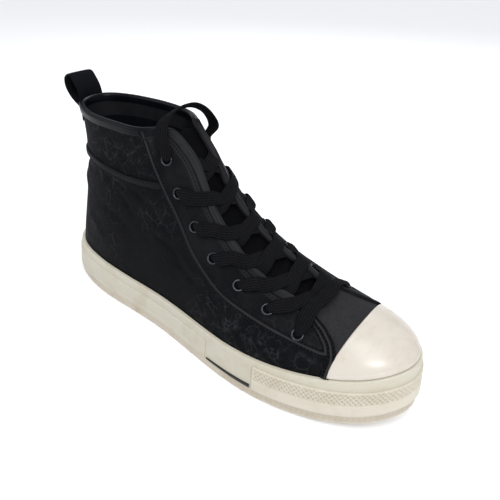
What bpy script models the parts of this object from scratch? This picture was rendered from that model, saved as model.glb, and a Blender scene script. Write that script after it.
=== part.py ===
"""High top sneaker, left shoe: rubber cupped sole, leather upper, laces and eyelets.

X runs from heel to toe, +Y is the wearer's left (the outer side of this shoe), +Z is up.
The origin is on the floor, under the middle of the shoe's length.
"""
import math

import bmesh
import bpy
import numpy as np
from mathutils import Vector

# Overall sizes, in metres
LENGTH = 0.300
BALL_WIDTH = 0.100
COLLAR_HEIGHT = 0.145
TOE_SPRING = 0.0097
SPRING_START = 0.060

# Sole
OUTSOLE_EDGE = 0.0070
OUTSOLE_PLATE = 0.0045
OUTSOLE_CHAMFER = 0.0006
# How far joined solids reach into each other
OVERLAP = 0.0010
LUG_BORDER = 0.0075
LUG_LENGTH = 0.0060
LUG_PITCH = 0.0100
# Start and end of the lugs along the shoe, at the heel and under the ball
LUG_FIELDS = [(-0.128, -0.048), (0.004, 0.126)]
FOXING_HEEL = 0.0325
FOXING_WAIST = 0.0272
FOXING_TOE = 0.0340
FOXING_TAPER = 0.0020
HEEL_LEAN = 0.0040
FOXING_WALL = 0.0026
FOXING_ROUND = 0.0012
FOOTBED_HEEL = 0.0175
FOOTBED_TOE = 0.0130
STRIP_THICKNESS = 0.0010
# Share of a strip's thickness that its upper bevel takes
STRIP_BEVEL = 0.4
BUMPER_START = 0.0640
BUMPER_HEIGHT = 0.0250
HEEL_STRIP_END = 0.0230
HEEL_STRIP_DROP = 0.0062
STRIPE_THIN = 0.0009
STRIPE_THICK = 0.0024
INSOLE_THICKNESS = 0.0035

# Upper
WALL = 0.0020
GAP = 0.0003
LEATHER = 0.0010
BINDING_DEPTH = 0.0050
BINDING_THICKNESS = 0.0009
CAP_THICKNESS = 0.0016
# Middle of the toe cap's rear edge, as a share of LENGTH from the shoe's middle
CAP_EDGE = 0.37267
CAP_BOW = 0.0040
CAP_BOW_AT = 0.0350
CAP_EDGE_POINTS = 13
# The cap starts this share of the wall above the sole's side wall
CAP_RAISED = 0.018
BAND_WIDTH = 0.0042
BAND_THICKNESS = 0.0008

# Tongue, loop, eyelets and laces
TONGUE_THICKNESS = 0.0030
TONGUE_UNDERLAP = 0.0130
TONGUE_DEPTH = 0.0043
LOOP_WIDTH = 0.0200
LOOP_THICKNESS = 0.0016
LOOP_RISE = 0.0165
EYELET_OUTER = 0.0038
EYELET_BARREL = 0.0029
EYELET_HOLE = 0.0023
EYELET_FLANGE = 0.0007
LACE_WIDTH = 0.0086
LACE_THICKNESS = 0.0014

# Front end of the collar's edge, as a share of LENGTH along the sole line
THROAT_CORNER = 0.480
EYELET_SIDES = 10
TONGUE_CROWN = 0.0010
TONGUE_FROM = 0.52
TONGUE_TO = 0.87
TONGUE_RISE = 0.0080
TONGUE_TIP = 0.0110
TONGUE_TIP_DROP = 0.0039
TONGUE_LEAN = -0.62
TONGUE_STAND = 0.78
LOOP_SEAT = 0.0150

# Panel left behind the eyestay's seam before it is cut, and t of its last line
EYESTAY_SPARE = 0.030
EYESTAY_LAST = 0.985

# Share of the heel's bend that the top of the loop keeps
LOOP_FLAT = 0.25

# Least step of t between a piece's end and the next facet line
LINE_MARGIN = 0.0040

# Facets: lines from heel to toe on each side, and rows from the sole to the edge
SIDE_LINES = 28
WALL_ROWS = 8
BINDING_ROW = WALL_ROWS + 1
TOP_ROW = WALL_ROWS + 2
# Points of a wall line on which distances are measured
WALL_SAMPLES = 60
# Half width of the toe cap's cutter and height of the eyestay's, past the upper, as shares of
# BALL_WIDTH and COLLAR_HEIGHT
CUTTER_REACH = 0.6
CUTTER_TOP = 1.2
# Share of a wall line that is lasted inside the sole's side wall
LASTED = 0.12
# The outer side's wall below the edge is less full than the inner side's
LATERAL_TUCK = 0.80

MEDIAL = -1
LATERAL = 1

# Sole outline: share of LENGTH, then the half widths as shares of BALL_WIDTH
OUTLINE = [
    # along, medial, lateral
    (0.00, 0.000, 0.000),
    (0.02, 0.146, 0.150),
    (0.06, 0.231, 0.262),
    (0.12, 0.296, 0.335),
    (0.20, 0.335, 0.370),
    (0.30, 0.348, 0.396),
    (0.40, 0.366, 0.424),
    (0.50, 0.408, 0.450),
    (0.60, 0.456, 0.482),
    (0.70, 0.477, 0.500),
    (0.78, 0.455, 0.482),
    (0.86, 0.400, 0.424),
    (0.93, 0.306, 0.322),
    (0.98, 0.165, 0.178),
    (1.00, 0.000, 0.000),
]

# Upper edge and wall, from the heel's back (0) to the toe (1) along the sole.
# foot: share of LENGTH on the sole line.  edge_x: share of LENGTH.  edge_y, swing: half width and
# shift of its middle, shares of BALL_WIDTH.  edge_z: share of COLLAR_HEIGHT.  flare, rise: pull of
# the wall above the sole.  lean, tuck, climb: pull of the wall below the edge, all shares of
# COLLAR_HEIGHT.
SECTIONS = [
    # foot, edge_x, edge_y, swing, edge_z, flare, rise, lean, tuck, climb
    (0.00, -0.388, 0.000, 0.000, 1.007, -0.045, 0.200, -0.055, 0.000, 0.283),
    (0.03, -0.376, 0.115, 0.000, 1.006, -0.035, 0.200, -0.045, 0.000, 0.280),
    (0.10, -0.338, 0.200, 0.000, 1.002, -0.008, 0.200, -0.030, -0.010, 0.275),
    (0.20, -0.273, 0.255, 0.000, 0.996, 0.020, 0.200, -0.014, -0.017, 0.272),
    (0.32, -0.193, 0.260, 0.000, 0.993, 0.020, 0.195, -0.020, -0.020, 0.275),
    (0.42, -0.127, 0.210, 0.000, 0.993, 0.017, 0.200, -0.055, 0.007, 0.248),
    (0.48, -0.088, 0.130, -0.003, 0.993, 0.014, 0.205, -0.083, 0.048, 0.207),
    (0.54, -0.053, 0.099, -0.006, 0.938, 0.007, 0.195, -0.055, 0.072, 0.170),
    (0.60, -0.022, 0.095, -0.010, 0.866, 0.000, 0.175, -0.023, 0.070, 0.158),
    (0.67, 0.007, 0.107, -0.013, 0.752, 0.000, 0.150, -0.020, 0.074, 0.150),
    (0.74, 0.050, 0.128, -0.016, 0.638, 0.000, 0.122, -0.012, 0.070, 0.126),
    (0.81, 0.113, 0.151, -0.018, 0.530, 0.000, 0.104, -0.016, 0.064, 0.110),
    (0.88, 0.188, 0.168, -0.016, 0.460, 0.000, 0.088, -0.050, 0.058, 0.092),
    (0.94, 0.255, 0.140, -0.013, 0.423, 0.000, 0.076, -0.150, 0.030, 0.050),
    (1.00, 0.285, 0.000, -0.010, 0.414, -0.014, 0.069, -0.200, 0.000, 0.021),
]

# Eyelets, from the collar down: along and up as shares of LENGTH and COLLAR_HEIGHT
EYELETS = [
    # along, up
    (-0.081, 0.880),
    (-0.043, 0.752),
    (0.010, 0.635),
    (0.066, 0.530),
    (0.133, 0.449),
    (0.205, 0.391),
    (0.281, 0.348),
]

# Lower seam of the eyestay seen from the side, from the collar to the toe cap
EYESTAY_SEAM = [
    # along, up
    (-0.143, 1.030),
    (-0.138, 0.960),
    (-0.119, 0.856),
    (-0.086, 0.741),
    (-0.036, 0.623),
    (0.012, 0.512),
    (0.093, 0.401),
    (0.164, 0.358),
    (0.233, 0.328),
    (0.303, 0.310),
    (0.342, 0.303),
]

# Front edge of the eyestay, from its seam up to the throat
EYESTAY_FRONT = [
    # along, up
    (0.357, 0.310),
    (0.345, 0.342),
    (0.327, 0.366),
    (0.288, 0.400),
    (0.262, 0.440),
]

SEAM_POINTS = 15
FRONT_POINTS = 6

# Row of the seam where the ankle band ends
BAND_MEETS = 3

# Ankle band seen from the side, from behind the heel to the eyestay
ANKLE_BAND = [
    # along, up
    (-0.450, 0.800),
    (-0.317, 0.781),
    (-0.249, 0.762),
    (-0.186, 0.750),
    (-0.111, 0.757),
    (-0.050, 0.775),
]

# Pull loop's middle path seen from the side, from the collar's edge up and round, in LOOP_RISE
LOOP_PATH = [
    # along, up
    (-0.17, 0.35),
    (-0.32, 0.70),
    (-0.58, 0.96),
    (-0.86, 0.85),
    (-0.97, 0.50),
    (-0.84, 0.14),
    (-0.56, -0.12),
]

# Places of a lace between its eyelet and the throat's edge
OVER_WALL_SHARES = (0.60, 0.80)

# Places of the lowest lace between its two eyelets
BAR_SHARES = (0.25, 0.38, 0.5, 0.62, 0.75)

# Slack top lace from the inner to the outer side: place as shares of LENGTH, BALL_WIDTH and
# COLLAR_HEIGHT, then the direction of its width along and up
TOP_LACE = [
    # along, across, up, width_along, width_up
    (-0.077, -0.215, 0.978, 1.0, 0.0),
    (-0.086, -0.155, 1.025, 0.95, 0.25),
    (-0.086, 0.000, 1.060, 0.85, 0.45),
    (-0.070, 0.130, 1.060, 0.85, 0.35),
    (-0.060, 0.215, 1.010, 0.95, 0.10),
    (-0.066, 0.235, 0.945, 1.0, 0.0),
]


def centre_shift():
    """Distance that sets the middle of the sole's width on the origin."""
    medial = max(row[1] for row in OUTLINE)
    lateral = max(row[2] for row in OUTLINE)
    return BALL_WIDTH * (lateral - medial) / 2


def lines_share(along):
    """Turn a share of the length into the even spacing used round the sole."""
    return math.acos(1 - 2 * along) / math.pi


def cubic(knots, values, at, mirror):
    """Smooth curve through values; mirror is 1 for an even and -1 for an odd end."""
    knots = np.asarray(knots, float)
    values = np.asarray(values, float)
    reach = 3
    before = -knots[1:reach + 1][::-1]
    after = 2 - knots[-reach - 1:-1][::-1]
    low = mirror * values[1:reach + 1][::-1]
    high = mirror * values[-reach - 1:-1][::-1]
    k = np.concatenate([before, knots, after])
    y = np.concatenate([low, values, high])
    step = np.diff(k)
    count = len(k)
    system = np.eye(count)
    right = np.zeros(count)
    for i in range(1, count - 1):
        system[i, i - 1] = step[i - 1]
        system[i, i] = 2 * (step[i - 1] + step[i])
        system[i, i + 1] = step[i]
        right[i] = 6 * ((y[i + 1] - y[i]) / step[i] - (y[i] - y[i - 1]) / step[i - 1])
    bend = np.linalg.solve(system, right)
    at = np.asarray(at, float)
    i = np.clip(np.searchsorted(k, at) - 1, 0, count - 2)
    h = step[i]
    a = (k[i + 1] - at) / h
    b = (at - k[i]) / h
    curve = a * y[i] + b * y[i + 1]
    return curve + ((a ** 3 - a) * bend[i] + (b ** 3 - b) * bend[i + 1]) * h * h / 6


def lift(x):
    """Height of the sole's underside over the floor."""
    reach = LENGTH / 2 - SPRING_START
    return TOE_SPRING * np.clip((np.asarray(x, float) - SPRING_START) / reach, 0, None) ** 2


def outline(t, side, inset=0.0):
    """Point on the sole's outline, t from 0 at the heel to 1 at the toe."""
    knots = [lines_share(row[0]) for row in OUTLINE]
    column = 1 if side == MEDIAL else 2
    widths = [row[column] * BALL_WIDTH for row in OUTLINE]

    def at(s):
        s = np.asarray(s, float)
        x = -LENGTH / 2 * np.cos(math.pi * s)
        return np.stack([x, side * cubic(knots, widths, s, -1) - centre_shift()], -1)

    t = np.asarray(t, float)
    small = 1e-3
    ahead = at(np.minimum(t + small, 2))
    behind = at(t - small)
    along = ahead - behind
    along = along / np.linalg.norm(along, axis=-1, keepdims=True)
    inward = np.stack([along[..., 1], -along[..., 0]], -1) * side
    return at(t) + inward * np.asarray(inset)[..., None]


def share_of_length(x):
    return np.asarray(x, float) / LENGTH + 0.5


def foxing_height(x):
    """Height of the side wall's top over the sole's underside."""
    return np.interp(share_of_length(x), [0.0, 0.30, 0.62, 1.0],
                     [FOXING_HEEL, FOXING_WAIST, FOXING_WAIST, FOXING_TOE])


def footbed_height(x):
    """Height of the board that the foot stands on, over the sole's underside."""
    return np.interp(share_of_length(x), [0.0, 0.35, 0.70, 1.0],
                     [FOOTBED_HEEL, FOOTBED_HEEL, FOOTBED_TOE, FOOTBED_TOE])


def foxing_taper(x):
    """How far the side wall's top stands inside the outline, most at the heel's back."""
    back = np.clip(1 - share_of_length(x) / 0.10, 0, 1)
    return FOXING_TAPER + HEEL_LEAN * back * back


def skin_base(t, side):
    """Control points of the wall's line at t: board, sole edge, two pulls, top edge."""
    knots = [lines_share(row[0]) for row in SECTIONS]

    def column(index, scale, mirror):
        values = [row[index] * scale for row in SECTIONS]
        return cubic(knots, values, t, mirror)

    t = np.asarray(t, float)
    edge_line = outline(t, side)
    taper = foxing_taper(edge_line[..., 0])
    low = outline(t, side, FOXING_WALL + GAP + taper / 2)
    low_z = footbed_height(low[..., 0]) + GAP + lift(low[..., 0])
    foot = outline(t, side, FOXING_WALL + GAP + taper)
    foot_z = foxing_height(foot[..., 0]) + GAP + lift(foot[..., 0])
    out = edge_line - foot
    out = out / np.linalg.norm(out, axis=-1, keepdims=True)
    flare = column(5, COLLAR_HEIGHT, 1)
    rise = column(6, COLLAR_HEIGHT, 1)
    edge_y = side * column(2, BALL_WIDTH, -1) + column(3, BALL_WIDTH, 1) - centre_shift()
    tuck = side * (LATERAL_TUCK if side == LATERAL else 1.0)
    edge = np.stack([column(1, LENGTH, 1), edge_y, column(4, COLLAR_HEIGHT, 1)], -1)
    pull = np.stack([column(7, COLLAR_HEIGHT, 1), -tuck * column(8, COLLAR_HEIGHT, -1),
                     column(9, COLLAR_HEIGHT, 1)], -1)
    board = np.stack([low[..., 0], low[..., 1], low_z], -1)
    base = np.stack([foot[..., 0], foot[..., 1], foot_z], -1)
    first = base + np.stack([out[..., 0] * flare, out[..., 1] * flare, rise], -1)
    return board, base, first, edge - pull, edge


def skin_raw(t, side, v):
    board, base, first, second, edge = skin_base(t, side)
    v = np.asarray(v, float)[..., None]
    lasted = board + (base - board) * (v / LASTED)
    s = np.clip((v - LASTED) / (1 - LASTED), 0, None)
    r = 1 - s
    wall = r ** 3 * base + 3 * r * r * s * first + 3 * r * s * s * second + s ** 3 * edge
    return np.where(v < LASTED, lasted, wall)


def skin(t, side, v, off=0.0):
    """Point on the upper at t round the sole and v up the wall, off metres outside it."""
    t, v = np.broadcast_arrays(np.asarray(t, float), np.asarray(v, float))
    small = 2e-3
    along = skin_raw(t + small, side, v) - skin_raw(t - small, side, v)
    up = skin_raw(t, side, np.minimum(v + small, 1)) - skin_raw(t, side, np.maximum(v - small, 0))
    normal = np.cross(along, up) * -side
    normal = normal / np.linalg.norm(normal, axis=-1, keepdims=True)
    return skin_raw(t, side, v) + normal * np.asarray(off)[..., None]


def wall_lengths(t, side):
    """Shares v up the wall above the sole edge, and the distance of each from the top edge."""
    v = np.linspace(LASTED, 1, WALL_SAMPLES)
    points = skin_raw(np.full(WALL_SAMPLES, t), side, v)
    steps = np.linalg.norm(np.diff(points, axis=0), axis=1)
    from_top = np.concatenate([np.cumsum(steps[::-1])[::-1], [0.0]])
    return v, from_top


def below_edge(t, side, distance):
    """Share v of the point that lies a distance down the wall from the top edge."""
    v, from_top = wall_lengths(t, side)
    return float(np.interp(-distance, -from_top, v))


def edge_slant(t, side):
    """Sine of the angle between a wall line and the top edge that it meets."""
    small = 2e-3
    along = unit(skin_raw(t + small, side, 1.0) - skin_raw(t - small, side, 1.0))
    up = unit(skin_raw(t, side, 1.0) - skin_raw(t, side, 1.0 - small))
    return float(np.linalg.norm(np.cross(along, up)))


def depth_share(t, side, depth):
    """Share v of the point that lies a depth below the top edge, square to the edge."""
    return below_edge(t, side, depth / edge_slant(t, side))


def wall_rows(t, side):
    """Shares v of the facet rows on one wall line, from the board to the top edge."""
    v, from_top = wall_lengths(t, side)
    last = (BINDING_DEPTH + GAP) / edge_slant(t, side)
    stops = np.linspace(from_top[0], last, WALL_ROWS + 1)
    return [0.0] + list(np.interp(-stops, -from_top, v)) + [1.0]


def from_side(points):
    """Places along and up, as seen from the side."""
    return points[..., ::2]


def from_above(points):
    """Places along and across, as seen from above."""
    return points[..., :2]


def find_on_skin(side, target, view):
    """The t and v of the wall's point that a view shows at a place."""
    t, v = np.meshgrid(np.linspace(0.02, 0.98, 49), np.linspace(LASTED, 1, 31), indexing="ij")
    points = view(skin_raw(t, side, v))
    target = np.asarray(target, float)
    miss = ((points - target) ** 2).sum(-1)
    best = np.unravel_index(np.argmin(miss), miss.shape)
    at = np.array([t[best], v[best]])
    small = 1e-4
    for _ in range(12):
        here = view(skin_raw(at[0], side, at[1]))
        by_t = (view(skin_raw(at[0] + small, side, at[1])) - here) / small
        by_v = (here - view(skin_raw(at[0], side, at[1] - small))) / small
        step = np.linalg.lstsq(np.stack([by_t, by_v], -1), target - here, rcond=None)[0]
        at = np.clip(at + np.clip(step, -0.05, 0.05), [0.0, LASTED], [1.0, 1.0])
    return float(at[0]), float(at[1])


def skin_normal(t, side, v):
    """Outward direction of the upper at one place."""
    step = skin(t, side, v, 0.001) - skin(t, side, v)
    return step / np.linalg.norm(step)


def unit(vector):
    vector = np.asarray(vector, float)
    return vector / np.linalg.norm(vector)


def smooth_path(points, count):
    """Even points on a smooth curve through a few given ones."""
    points = np.asarray(points, float)
    steps = np.linalg.norm(np.diff(points, axis=0), axis=1)
    knots = np.concatenate([[0], np.cumsum(steps)]) / steps.sum()
    slopes = np.gradient(points, knots, axis=0)
    at = np.linspace(0, 1, count)
    i = np.clip(np.searchsorted(knots, at) - 1, 0, len(knots) - 2)
    h = (knots[i + 1] - knots[i])[:, None]
    s = ((at - knots[i]) / (knots[i + 1] - knots[i]))[:, None]
    return ((2 * s ** 3 - 3 * s ** 2 + 1) * points[i] + (s ** 3 - 2 * s ** 2 + s) * h * slopes[i]
            + (3 * s ** 2 - 2 * s ** 3) * points[i + 1] + (s ** 3 - s ** 2) * h * slopes[i + 1])


# Blender objects start here

def clear_scene():
    for item in list(bpy.data.objects):
        bpy.data.objects.remove(item, do_unlink=True)


def material(name, color, roughness, metallic=0.0):
    made = bpy.data.materials.new(name)
    made.use_nodes = True
    shader = made.node_tree.nodes["Principled BSDF"]
    shader.inputs["Base Color"].default_value = (*color, 1.0)
    shader.inputs["Roughness"].default_value = roughness
    shader.inputs["Metallic"].default_value = metallic
    return made


def add_object(name, points, faces, look):
    """Make one closed solid with its faces outward."""
    mesh = bpy.data.meshes.new(name)
    mesh.from_pydata([tuple(p) for p in points], [], faces)
    work = bmesh.new()
    work.from_mesh(mesh)
    bmesh.ops.recalc_face_normals(work, faces=work.faces)
    work.to_mesh(mesh)
    work.free()
    mesh.shade_smooth()
    mesh.set_sharp_from_angle(angle=math.radians(35))
    made = bpy.data.objects.new(name, mesh)
    bpy.context.scene.collection.objects.link(made)
    if look is not None:
        made.data.materials.append(look)
    return made


def add_cutter(name, points, faces):
    made = add_object(name, points, faces, None)
    made.hide_render = True
    made.display_type = "WIRE"
    return made


def add_boolean(body, cutter, operation):
    cut = body.modifiers.new(cutter.name, "BOOLEAN")
    cut.operation = operation
    cut.solver = "EXACT"
    cut.object = cutter


def sweep(sections, closed=False, order=None, rising=None):
    """Points and faces of a solid through a row of sections with equal numbers of corners.

    With an order (the t of each section) and the rising corners, each wall's quads are cut along
    the same diagonal of the upper's own grid, so that layers over it stay parallel to it.
    """
    corners = len(sections[0])
    points = [p for section in sections for p in section]
    faces = []
    count = len(sections)
    for i in range(count if closed else count - 1):
        a = i * corners
        b = (i + 1) % count * corners
        for j in range(corners):
            k = (j + 1) % corners
            if order is None:
                faces.append((a + j, a + k, b + k, b + j))
            elif (order[(i + 1) % count] > order[i]) == rising[j]:
                faces += [(a + j, a + k, b + k), (a + j, b + k, b + j)]
            else:
                faces += [(a + j, a + k, b + j), (a + k, b + k, b + j)]
    if not closed:
        faces.append(tuple(range(corners)))
        faces.append(tuple(range((count - 1) * corners, count * corners)))
    return points, faces


def add_sweep(name, sections, look, closed=False, order=None, rising=None):
    points, faces = sweep(sections, closed, order, rising)
    return add_object(name, points, faces, look)


def facet_lines():
    """The t of each line up the wall, with one at the throat's corner."""
    return sorted([i / SIDE_LINES for i in range(SIDE_LINES + 1)] + [lines_share(THROAT_CORNER)])


def between(low, high):
    """Facet lines well inside two values of t."""
    return [t for t in facet_lines() if low + LINE_MARGIN < t < high - LINE_MARGIN]


def all_round():
    """Every line round the shoe as t and side, from the heel by the medial side."""
    lines = facet_lines()
    return [(t, MEDIAL) for t in lines] + [(t, LATERAL) for t in lines[-2:0:-1]]


def round_heel(t_medial, t_lateral):
    """Lines from one t on the medial side, behind the heel, to another on the lateral side."""
    medial = [(t, MEDIAL) for t in [0.0] + between(0.0, t_medial) + [t_medial]]
    lateral = [(t, LATERAL) for t in between(0.0, t_lateral) + [t_lateral]]
    return medial[::-1] + lateral


def round_toe(t_end):
    """Lines from t_end on the medial side, round the toe, to t_end on the lateral side."""
    near = [(t, MEDIAL) for t in [t_end] + between(t_end, 1.0) + [1.0]]
    return near + [(t, LATERAL) for t in between(t_end, 1.0)[::-1] + [t_end]]


def one_side(side, t_from, t_to):
    """Lines of one side between two values of t."""
    return [(t, side) for t in [t_from] + between(t_from, t_to) + [t_to]]


def sole_point(t, side, inset, height):
    """Point of the sole at an inset from its outline and a height over its underside."""
    flat = outline(t, side, inset)
    return np.array([flat[0], flat[1], height + float(lift(flat[0]))])


def rungs(low_start, count):
    """Faces that join the medial and lateral halves of one ring of points."""
    faces = []
    for i in range(count // 2):
        a = low_start + i
        b = low_start + i + 1
        c = low_start + (count - i - 1) % count
        d = low_start + (count - i) % count
        corners = []
        for corner in (a, b, c, d):
            if corner not in corners:
                corners.append(corner)
        faces.append(tuple(corners))
    return faces


def add_plate(name, rings, look):
    """Solid of stacked rings, each (inset, height) or a function of a line; ends closed across."""
    lines = all_round()
    count = len(lines)
    points = []
    for ring in rings:
        points += [ring(t, side) for t, side in lines]
    faces = []
    for r in range(len(rings) - 1):
        for i in range(count):
            j = (i + 1) % count
            faces.append((r * count + i, r * count + j, (r + 1) * count + j, (r + 1) * count + i))
    faces += rungs(0, count)
    faces += rungs((len(rings) - 1) * count, count)
    return add_object(name, points, faces, look)


def wall_inset(t, side, height):
    """Inset of the side wall's inner face at a height, in line with the upper's lasted edge."""
    x = outline(t, side)[0]
    taper = foxing_taper(x)
    low = footbed_height(x)
    high = foxing_height(x)
    return FOXING_WALL + taper / 2 + taper / 2 * (height - low) / (high - low)


BOX_FACES = [(0, 1, 2, 3), (4, 7, 6, 5), (0, 4, 5, 1), (1, 5, 6, 2), (2, 6, 7, 3), (3, 7, 4, 0)]


def build_outsole(look):
    plate_under = OUTSOLE_EDGE - OUTSOLE_PLATE

    def ring(inset, height):
        return lambda t, side: sole_point(t, side, inset, height)

    rings = [ring(LUG_BORDER, plate_under), ring(LUG_BORDER, 0.0),
             ring(OUTSOLE_CHAMFER, 0.0), ring(0.0, OUTSOLE_CHAMFER),
             ring(0.0, OUTSOLE_EDGE - OUTSOLE_CHAMFER), ring(OUTSOLE_CHAMFER, OUTSOLE_EDGE)]
    plate = add_plate("outsole", rings, look)
    points = []
    faces = []
    inset = LUG_BORDER - OVERLAP
    for start, end in LUG_FIELDS:
        x = start
        while x + LUG_LENGTH <= end:
            ts = [lines_share(share_of_length(x)), lines_share(share_of_length(x + LUG_LENGTH))]
            base = len(points)
            for height in (GAP, plate_under + OVERLAP):
                for t, side in ((ts[0], MEDIAL), (ts[1], MEDIAL), (ts[1], LATERAL), (ts[0], LATERAL)):
                    points.append(sole_point(t, side, inset, height))
            faces += [tuple(base + k for k in face) for face in BOX_FACES]
            x += LUG_PITCH
    lugs = add_cutter("lug_blocks", points, faces)
    add_boolean(plate, lugs, "UNION")
    return plate


def build_midsole(look):
    bottom = OUTSOLE_EDGE + GAP

    def low(t, side):
        return sole_point(t, side, wall_inset(t, side, bottom) + GAP, bottom)

    def high(t, side):
        top = float(footbed_height(outline(t, side)[0]))
        return sole_point(t, side, wall_inset(t, side, top) + GAP, top)

    return add_plate("midsole", [low, high], look)


def build_insole(look):
    def ring(extra):
        def at(t, side):
            low = skin_raw(t, side, 0.0)
            high = skin_raw(t, side, LASTED)
            v = LASTED * extra / (high[2] - low[2])
            spot = skin(t, side, v, -WALL - GAP)
            spot[2] = low[2] + extra
            return spot
        return at

    return add_plate("insole", [ring(0.0), ring(INSOLE_THICKNESS)], look)


def foxing_face(t, side, height, off):
    """Point outside the side wall's outer face."""
    x = outline(t, side)[0]
    low = OUTSOLE_EDGE + GAP
    high = foxing_height(x) - FOXING_ROUND
    inset = foxing_taper(x) * np.clip((height - low) / (high - low), 0, 1)
    return sole_point(t, side, inset - off, height)


def build_foxing(look):
    sections = []
    for t, side in all_round():
        x = outline(t, side)[0]
        low = OUTSOLE_EDGE + GAP
        high = float(foxing_height(x))
        taper = foxing_taper(x)
        sections.append([
            foxing_face(t, side, low, 0.0),
            foxing_face(t, side, high - FOXING_ROUND, 0.0),
            sole_point(t, side, taper + FOXING_ROUND * 0.4, high - FOXING_ROUND * 0.3),
            sole_point(t, side, taper + FOXING_ROUND, high),
            sole_point(t, side, wall_inset(t, side, high), high),
            sole_point(t, side, wall_inset(t, side, low), low),
        ])
    order = [t for t, side in all_round()]
    rising = [True, True, True, True, False, False]
    return add_sweep("foxing", sections, look, closed=True, order=order, rising=rising)


def add_strip(name, lines, low, high, thickness, look):
    """Strip on the side wall between two heights, each a function of x."""
    sections = []
    for t, side in lines:
        x = outline(t, side)[0]
        bottom = low(x)
        top = high(x)
        bevel = min(thickness, top - bottom) * STRIP_BEVEL
        sections.append([
            foxing_face(t, side, bottom, GAP),
            foxing_face(t, side, bottom, GAP + thickness),
            foxing_face(t, side, top - bevel, GAP + thickness),
            foxing_face(t, side, top, GAP + thickness - bevel),
            foxing_face(t, side, top, GAP),
        ])
    rising = [True, True, True, True, False]
    add_sweep(name, sections, look, order=[t for t, side in lines], rising=rising)


def build_strips(rubber, black):
    low = OUTSOLE_EDGE + 2 * GAP
    heel_t = lines_share(share_of_length(HEEL_STRIP_END))
    toe_t = lines_share(share_of_length(BUMPER_START))

    def floor(x):
        return low

    def heel_top(x):
        return foxing_height(x) - HEEL_STRIP_DROP

    def bumper_top(x):
        return BUMPER_HEIGHT

    def stripe_top(x):
        share = (x - HEEL_STRIP_END) / (BUMPER_START - HEEL_STRIP_END)
        return low + STRIPE_THIN + (STRIPE_THICK - STRIPE_THIN) * share

    add_strip("heel_strip", round_heel(heel_t, heel_t), floor, heel_top, STRIP_THICKNESS, rubber)
    add_strip("toe_bumper", round_toe(toe_t), floor, bumper_top, STRIP_THICKNESS, rubber)
    margin = 4 * GAP / LENGTH
    for side, word in ((MEDIAL, "medial"), (LATERAL, "lateral")):
        lines = one_side(side, heel_t + margin, toe_t - margin)
        add_strip("side_stripe_" + word, lines, floor, stripe_top, STRIP_THICKNESS / 2, black)


def grid(lines, rows_from, rows_to, off, raised):
    """Points of the upper on its facet lines and rows, off metres outside it."""
    columns = []
    for t, side in lines:
        v = np.array(wall_rows(t, side)[rows_from:rows_to + 1])
        v[0] += raised
        column = skin(np.full(len(v), t), side, v, off)
        if rows_from == 0:
            column[0, 2] = skin_raw(t, side, 0.0)[2]
        columns.append(column)
    return columns


def shell(lines, rows_from, rows_to, low, high, closed=False, raised=0.0):
    """Points and faces of a layer of the upper, between two distances outside its surface."""
    inner = grid(lines, rows_from, rows_to, low, raised)
    outer = grid(lines, rows_from, rows_to, high, raised)
    sections = [list(a) + list(b)[::-1] for a, b in zip(inner, outer)]
    corners = len(sections[0])
    half = corners // 2
    rising = [True] * half + [False] * half
    points, faces = sweep(sections, closed, [t for t, side in lines], rising)
    if not closed:
        faces = faces[:-2]
        for start in (0, (len(sections) - 1) * corners):
            for j in range(half - 1):
                k = corners - 1 - j
                faces.append((start + j, start + j + 1, start + k - 1, start + k))
    return points, faces


def build_upper(look, holes):
    points, faces = shell(all_round(), 0, TOP_ROW, -WALL, 0.0, closed=True)
    upper = add_object("upper", points, faces, look)
    add_boolean(upper, holes, "DIFFERENCE")
    return upper


def side_prism(name, profile, side):
    """Cutter of one side of the shoe, from a profile seen from that side."""
    points = [(x, side * y, z) for y in (OVERLAP, BALL_WIDTH) for x, z in profile]
    count = len(profile)
    faces = [tuple(range(count)), tuple(range(count, 2 * count))]
    for i in range(count):
        j = (i + 1) % count
        faces.append((i, j, count + j, count + i))
    return add_cutter(name, points, faces)


def side_view(table):
    return [(x * LENGTH, z * COLLAR_HEIGHT) for x, z in table]


def eyestay_profile():
    """Outline of the eyestay panel seen from the side, open past the throat."""
    seam = smooth_path(side_view(EYESTAY_SEAM), SEAM_POINTS)
    front = smooth_path(side_view(EYESTAY_FRONT), FRONT_POINTS)
    past = [(EYESTAY_FRONT[-1][0] * LENGTH, CUTTER_TOP * COLLAR_HEIGHT),
            (EYESTAY_SEAM[0][0] * LENGTH, CUTTER_TOP * COLLAR_HEIGHT)]
    return [tuple(p) for p in seam] + [tuple(p) for p in front] + past


def build_eyestays(look, holes):
    start = lines_share(share_of_length(EYESTAY_SEAM[1][0] * LENGTH - EYESTAY_SPARE))
    for side, word in ((MEDIAL, "medial"), (LATERAL, "lateral")):
        lines = one_side(side, start, EYESTAY_LAST)[:-1]
        points, faces = shell(lines, 1, BINDING_ROW, GAP, GAP + LEATHER)
        stay = add_object("eyestay_" + word, points, faces, look)
        profile = side_prism("eyestay_cutter_" + word, eyestay_profile(), side)
        add_boolean(stay, profile, "INTERSECT")
        add_boolean(stay, holes, "DIFFERENCE")


def strip_on_wall(lines, middle_height, width, low, high):
    """Sections of a band laid on the upper at a height given for each x."""
    sections = []
    for t, side in lines:
        v = np.linspace(LASTED, 1, WALL_SAMPLES)
        wall = skin_raw(np.full(WALL_SAMPLES, t), side, v)
        at = float(np.interp(0, wall[:, 2] - middle_height(wall[:, 0]), v))
        small = 1e-2
        up = float(np.linalg.norm(skin_raw(t, side, at + small) - skin_raw(t, side, at)))
        half = width / 2 / up * small
        sections.append([skin(t, side, at - half, low), skin(t, side, at - half, high),
                         skin(t, side, at + half, high), skin(t, side, at + half, low)])
    return sections


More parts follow.
